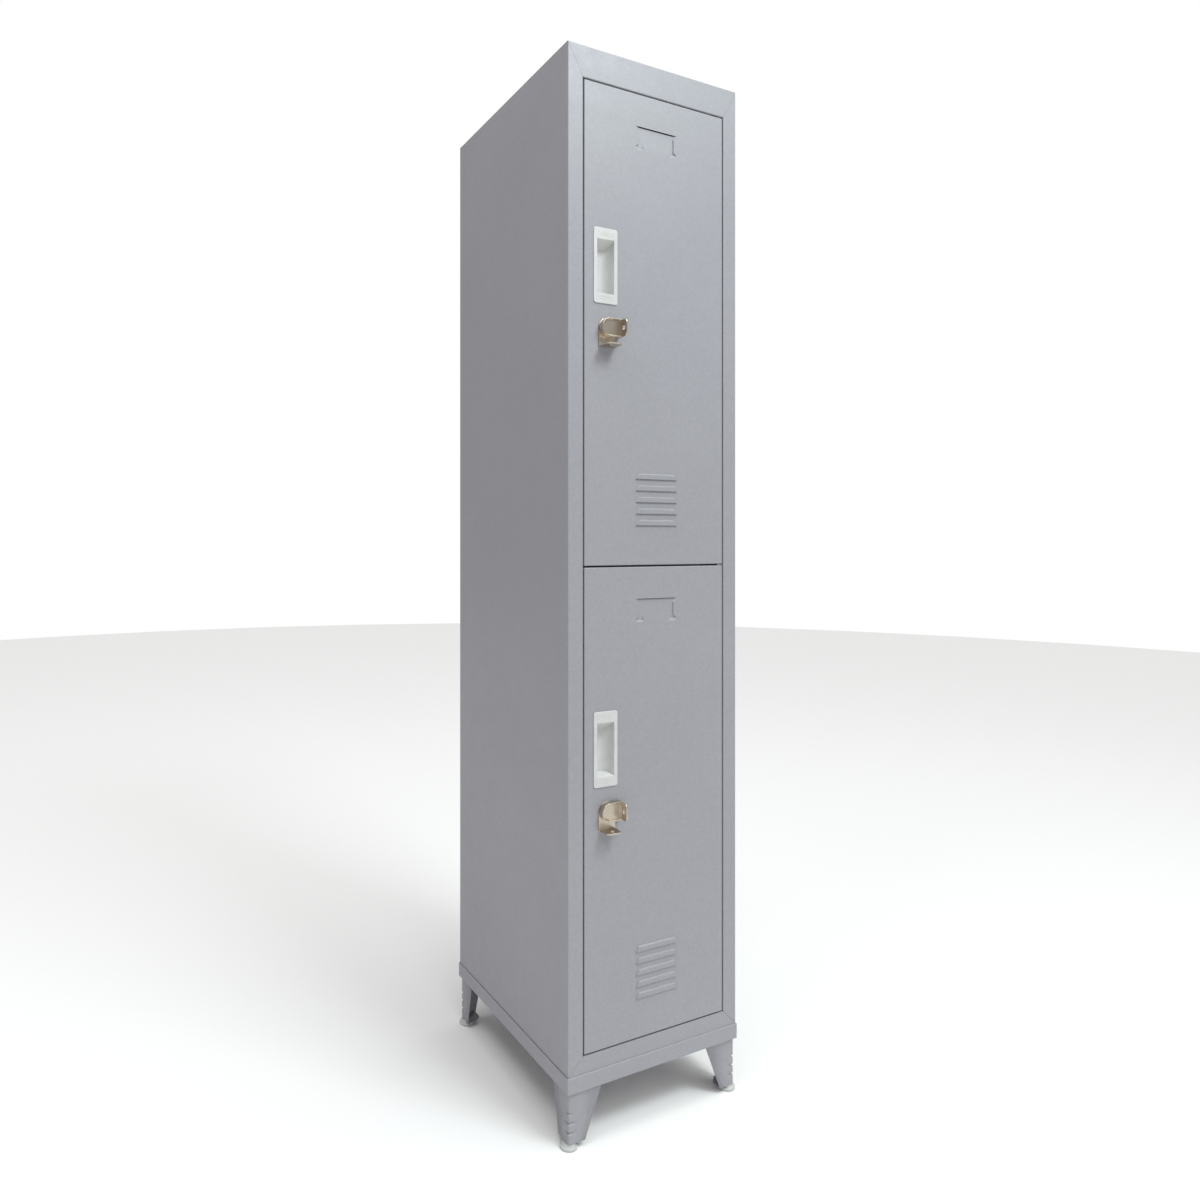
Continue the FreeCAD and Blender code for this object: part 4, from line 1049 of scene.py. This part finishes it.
@dataclass
class Pull:
    """The moulded finger pull: a rounded flange round a half-round cup."""

    shop: Workshop
    which: str
    wide: float = 50.5
    tall: float = 134
    corner: float = 4.5
    inset: float = 2.4
    proud: float = 1.8
    grip: float = 18
    grip_half: float = 48
    grip_lower: float = 18
    slants: Flat = (0.3, 0.75)
    wall: float = 2
    groove_deep: float = 0.45
    groove_half: float = 0.55
    groove_steps: Flat = (6.5, 10.5)
    rim_reach: float = 6

    def build(self) -> None:
        """Mould the pull and set it in its door."""
        low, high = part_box(f"{self.which}_recess_handle")
        bottom = -self.grip_half - self.grip_lower
        zero = Vector(((low.x + high.x) / 2, FACE_Y, low.z - bottom * MM))
        top = bottom + self.tall
        half = self.wide / 2
        rim = round_outline(-half, half, bottom, top, self.corner)
        inset, grip = self.inset, self.grip
        shelf = round_outline(inset - half, half - inset, bottom + inset, top - inset, self.corner - inset)
        mouth = box_outline(-grip, grip, -self.grip_half, self.grip_half)
        face = -self.proud
        cage = Cage(zero)
        cage.hoops(Lie.FACE, (rim, 0.0), (rim, face), (shelf, face))
        grooves = [(self.grip_half + step) * up for up in (1, -1) for step in self.groove_steps]
        slit = self.groove_half
        for level in grooves:
            self.groove(cage, level)
        slits = [box_outline(-grip, grip, level - slit, level + slit) for level in grooves]
        cage.plate(Lie.FACE, face, shelf, [mouth, *slits])
        cup = [(-grip, face), *arc((0.0, 0.0), grip, 180, 0, 24), (grip, face)]
        ends = [[(x, y, (self.grip_half - slant * (y - face)) * up) for x, y in cup]
                for up, slant in zip((-1, 1), self.slants)]
        cage.bands(ends)
        for end in ends:
            cage.face(end)

        def weight(a: Vector, b: Vector) -> float:
            """The rim and the mouth are rounded, the rim more.

            Args:
                a: One end of an edge.
                b: Its other end.

            Returns:
                The edge's weight.
            """
            if abs(a.y - face) > 0.01 or abs(b.y - face) > 0.01:
                return 0.0
            if all(abs(end.x) < grip + NEAR and abs(end.z) < self.grip_half + NEAR for end in (a, b)):
                return 0.7
            reach = self.rim_reach
            return float(all(abs(end.x) > half - reach or not bottom + reach <= end.z <= top - reach
                             for end in (a, b)))

        piece = cage.shaped(f"{self.which}_pull_moulding", 1.0, 4, (0, -1, 0), weight, self.wall)
        self.shop.fit(piece, f"{self.which}_door", Slot.WHITE, [f"{self.which}_recess_handle"])

    def groove(self, cage: Cage, level: float) -> None:
        """Add one shallow V groove to the flange.

        Args:
            cage: The pull's cage.
            level: The groove's height.
        """
        face, deep = -self.proud, -self.proud + self.groove_deep
        low, high = level - self.groove_half, level + self.groove_half
        start, stop = (-self.grip + 1, deep, level), (self.grip - 1, deep, level)
        rims = [[(x, face, z) for x in (-self.grip, self.grip)] for z in (low, high)]
        (lower_left, lower_right), (upper_left, upper_right) = rims
        cage.face((lower_left, lower_right, stop, start))
        cage.face((upper_left, start, stop, upper_right))
        cage.face((lower_left, start, upper_left))
        cage.face((lower_right, upper_right, stop))


# ---- hasps ----

@dataclass
class Hasp:
    """A padlock hasp: a fixed arched plate and a dished thumb turn, each with a lug."""

    shop: Workshop
    which: str
    plate_half: float = 17.5
    plate: float = 2.0
    base_drop: float = 33.7
    turn_half: float = 16.5
    turn_proud: float = 12.5
    turn_near: float = -2.4
    turn_drop: float = 26.0
    rim: float = 2.2
    sink: float = 3.5
    lug: float = 2.5
    lug_half: float = 15.5
    lug_reach: float = 28.0
    lug_hole: float = 4.0
    lug_hole_y: float = -19.5
    neck: float = 9.0
    neck_long: float = 9.0
    spindle: float = 5.0
    cam_y: float = 21.5
    cam_thick: float = 2.0
    cam_half: float = 8.0
    cam_reach: float = 48.0

    def __post_init__(self) -> None:
        """Find the hasp's axis from the ring nut's box and the cabinet's face."""
        low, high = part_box(f"{self.which}_hasp_nut")
        middle = (low + high) / 2
        self.zero = Vector((middle.x, FACE_Y, middle.z))

    def arch(self, half: float, bottom: float) -> list[Flat]:
        """The outline of a plate with a half-round top, from half its width and its lower edge."""
        return arc((0.0, 0.0), half, 0, 180, 20) + [(-half, bottom), (half, bottom)]

    def lug_plate(self, cage: Cage, low: float, reach: float, near: float) -> None:
        """Add a flat lug with its padlock hole.

        Args:
            cage: The piece's cage.
            low: The lug's underside.
            reach: How far it stands out.
            near: Its inner end.
        """
        half, round_off = self.lug_half, 7.0
        outline = arc((-half + round_off, -reach + round_off), round_off, 180, 270, 6)
        outline += arc((half - round_off, -reach + round_off), round_off, 270, 360, 6)
        outline += [(half, near), (-half, near)]
        cage.slab(Lie.PLAN, low, low + self.lug, outline, [ring((0.0, self.lug_hole_y), self.lug_hole, 20)])

    def base(self) -> Piece:
        """The fixed plate, its lug and its threaded neck.

        Returns:
            The finished piece.
        """
        cage = Cage(self.zero)
        cage.slab(Lie.FACE, -self.plate, 0.0, self.arch(self.plate_half, -self.base_drop),
                  [ring((0.0, 0.0), self.spindle + 0.05, 24)])
        self.lug_plate(cage, -self.base_drop, self.lug_reach, -self.plate / 2)
        cage.slab(Lie.FACE, -0.5, self.neck_long, ring((0.0, 0.0), self.neck, 32),
                  [ring((0.0, 0.0), self.spindle + 0.05, 24)])
        return cage.shaped(f"{self.which}_hasp_plate", 0.5, 3)

    def turn(self) -> Piece:
        """The thumb turn: a dished block, its lug and its spindle, made locked.

        Returns:
            The finished piece.
        """
        half, drop = self.turn_half, -self.turn_drop
        face, floor = -self.turn_proud, -self.turn_proud + self.sink
        outer = self.arch(half, drop)
        dish = self.arch(half - self.rim, drop + self.lug + 1)
        well = self.arch(half - self.rim - 1.0, drop + self.lug + 2)
        cage = Cage(Vector())
        cage.hoops(Lie.FACE, (outer, self.turn_near), (outer, face))
        cage.plate(Lie.FACE, self.turn_near, outer)
        cage.plate(Lie.FACE, face, outer, [dish])
        cage.hoops(Lie.FACE, (dish, face), (well, floor))
        cage.plate(Lie.FACE, floor, well)
        self.lug_plate(cage, drop, self.lug_reach - 0.5, self.turn_near)
        seat = self.cam_y + self.cam_thick
        cage.slab(Lie.FACE, self.turn_near - 0.5, self.neck_long + 5, ring((0.0, 0.0), self.spindle, 28))
        cage.slab(Lie.FACE, self.neck_long + 4.5, seat, box_outline(-3.5, 3.5, -3.5, 3.5))
        piece = cage.shaped(f"{self.which}_thumb_dish", 0.6, 3)
        settle(piece, self.unlocked())
        return piece

    def unlocked(self) -> Matrix:
        """The place of a piece that is made locked and rests unlocked."""
        return Matrix.Translation(self.zero) @ Matrix.Rotation(math.radians(-90), 4, "Y")

    def cam(self) -> Piece:
        """The flat latch cam.

        Returns:
            The finished piece.
        """
        tip = -self.cam_reach + self.cam_half
        outline = arc((0.0, 0.0), self.cam_half, -90, 90, 12) + arc((tip, 0.0), self.cam_half, 90, 270, 12)
        cage = Cage(Vector())
        cage.slab(Lie.FACE, self.cam_y, self.cam_y + self.cam_thick, outline)
        piece = cage.shaped(f"{self.which}_cam_plate", 0.35, 2)
        settle(piece, self.unlocked())
        return piece

    def build(self) -> None:
        """Make and fit the hasp's pieces."""
        door, hasp = f"{self.which}_door", f"{self.which}_hasp"
        self.shop.fit(self.base(), door, Slot.NICKEL, [f"{self.which}_hasp_base"])
        self.shop.fit(self.turn(), hasp, Slot.NICKEL, [f"{self.which}_thumb_turn"])
        self.shop.fit(self.cam(), hasp, Slot.ZINC, [f"{self.which}_latch_cam"])
        self.shop.dress(f"{self.which}_hasp_nut", Slot.ZINC)
        self.shop.dress(f"{self.which}_cam_screw", Slot.ZINC)


# ---- fittings that stay ----

@dataclass
class Fittings:
    """The frame's small pieces that keep their shape and get their real finish."""

    shop: Workshop

    def build(self) -> None:
        """Dress pins, bolts, nuts, rods, sockets, washers and bumpers."""
        zinc = ["top_hinge_pin", "bottom_hinge_pin", "middle_hinge_pin", "middle_hinge_bracket", "leg_bolts",
                "leg_nuts", "foot_weld_nuts", "upper_coat_rod", "lower_coat_rod"]
        for node in zinc:
            self.shop.dress(node, Slot.ZINC)
        for node in ("hinge_washers", "upper_rod_sockets", "lower_rod_sockets"):
            self.shop.dress(node, Slot.NYLON)
        self.shop.dress("door_bumpers", Slot.RUBBER)


# ---- studio ----

class Glow(Enum):
    """The kinds of lamp."""

    PANEL = "AREA"
    WASH = "SUN"


@dataclass
class Lamp:
    """A soft lamp: a panel of light, or a wide wash from far away."""

    name: str
    kind: Glow
    place: Spot
    aim: Spot
    size: Flat
    power: float
    colour: str

    def build(self) -> None:
        """Hang the lamp and aim it; a wash's size is its angle in degrees."""
        light = bpy.data.lights.new(self.name, self.kind.value)
        if self.kind is Glow.PANEL:
            light.shape = "RECTANGLE"
            light.size, light.size_y = self.size
        else:
            light.angle = math.radians(self.size[0])
        light.energy = self.power
        light.color = linear(self.colour)[:3]
        lamp = add_object(self.name, light)
        lamp.location = self.place
        lamp.rotation_euler = (Vector(self.aim) - Vector(self.place)).to_track_quat("-Z", "Y").to_euler()


@dataclass
class Studio:
    """The paper floor, the white surroundings, the lamps and the camera."""

    floor_reach: float = 9.0
    camera_place: Spot = (-0.9623, -1.4507, 1.063)
    camera_turn: float = -0.4627
    lens: float = 25.17
    shift: Flat = (0.0931, -0.05)
    room_light: float = 0.39
    backdrop: float = 1.0

    def floor(self) -> None:
        """Lay a wide paper disc on the ground."""
        cage = Cage(Vector())
        reach = self.floor_reach / MM
        radii = [0.02, 0.25, 1.0]
        rows = [[(x, y, 0.0) for x, y in ring((0.0, 0.0), reach * share, 48)] for share in radii]
        cage.bands(rows, closed=True)
        cage.plate(Lie.PLAN, 0.0, ring((0.0, 0.0), reach * radii[0], 48))
        piece = cage.finished("paper_floor", (0, 0, 1))
        piece.data.materials.append(StudioPaper().material())

    def surroundings(self) -> None:
        """Light the room evenly, and show it as a plain white backdrop."""
        world = bpy.data.worlds.new("white_room")
        world.use_nodes = True
        tree = world.node_tree
        tree.nodes.clear()
        ray = add_node(tree, "ShaderNodeLightPath", {}, {})
        white = linear("#FFFFFF")
        lit, seen = (add_node(tree, "ShaderNodeBackground", {"Color": white, "Strength": power}, {})
                     for power in (self.room_light, self.backdrop))
        room = add_node(tree, "ShaderNodeMixShader", {}, {0: ray.outputs["Is Camera Ray"], 1: lit.outputs[0],
                                                          2: seen.outputs[0]})
        add_node(tree, "ShaderNodeOutputWorld", {}, {"Surface": room.outputs[0]})
        bpy.context.scene.world = world
        bpy.context.scene.view_settings.view_transform = "Standard"

    def camera(self) -> None:
        """Stand the camera at eye height, left of the doors."""
        lens = bpy.data.cameras.new("viewpoint")
        lens.lens = self.lens
        lens.sensor_width = 36
        lens.shift_x, lens.shift_y = self.shift
        camera = add_object("viewpoint", lens)
        camera.location = self.camera_place
        camera.rotation_euler = (math.radians(90), 0, self.camera_turn)
        bpy.context.scene.camera = camera

    def build(self) -> None:
        """Set up the whole studio."""
        self.camera()
        self.floor()
        self.surroundings()
        for lamp in (
            Lamp("front_panel", Glow.PANEL, (0.6, -1.8, 3.3), (0.0, -0.2, 1.6), (1.0, 0.8), 48, "#EEFDFC"),
            Lamp("side_panel", Glow.PANEL, (-1.6, -0.5, 3.6), (-0.2, 0.0, 1.0), (1.0, 1.0), 20, "#FFFBFF"),
            Lamp("overhead_wash", Glow.WASH, (0.45, -1.2, 2.7), (0.0, 0.0, 0.0), (70, 70), 1.85, "#FFFFFF"),
        ):
            lamp.build()


def main() -> None:
    """Build the locker and its studio in order."""
    logging.basicConfig(level=logging.INFO, format="%(message)s")
    Studio().build()
    shop = Workshop()
    Cabinet(shop).build()
    Skirt(shop).build()
    for corner, turn in (("front_left", 0), ("front_right", 90), ("rear_right", 180), ("rear_left", 270)):
        Leg(shop, corner, turn).build()
        Foot(shop, corner).build()
    for which in ("upper", "lower"):
        Door(shop, which).build()
        Pull(shop, which).build()
        Hasp(shop, which).build()
    Fittings(shop).build()


if __name__ == "__main__":
    main()
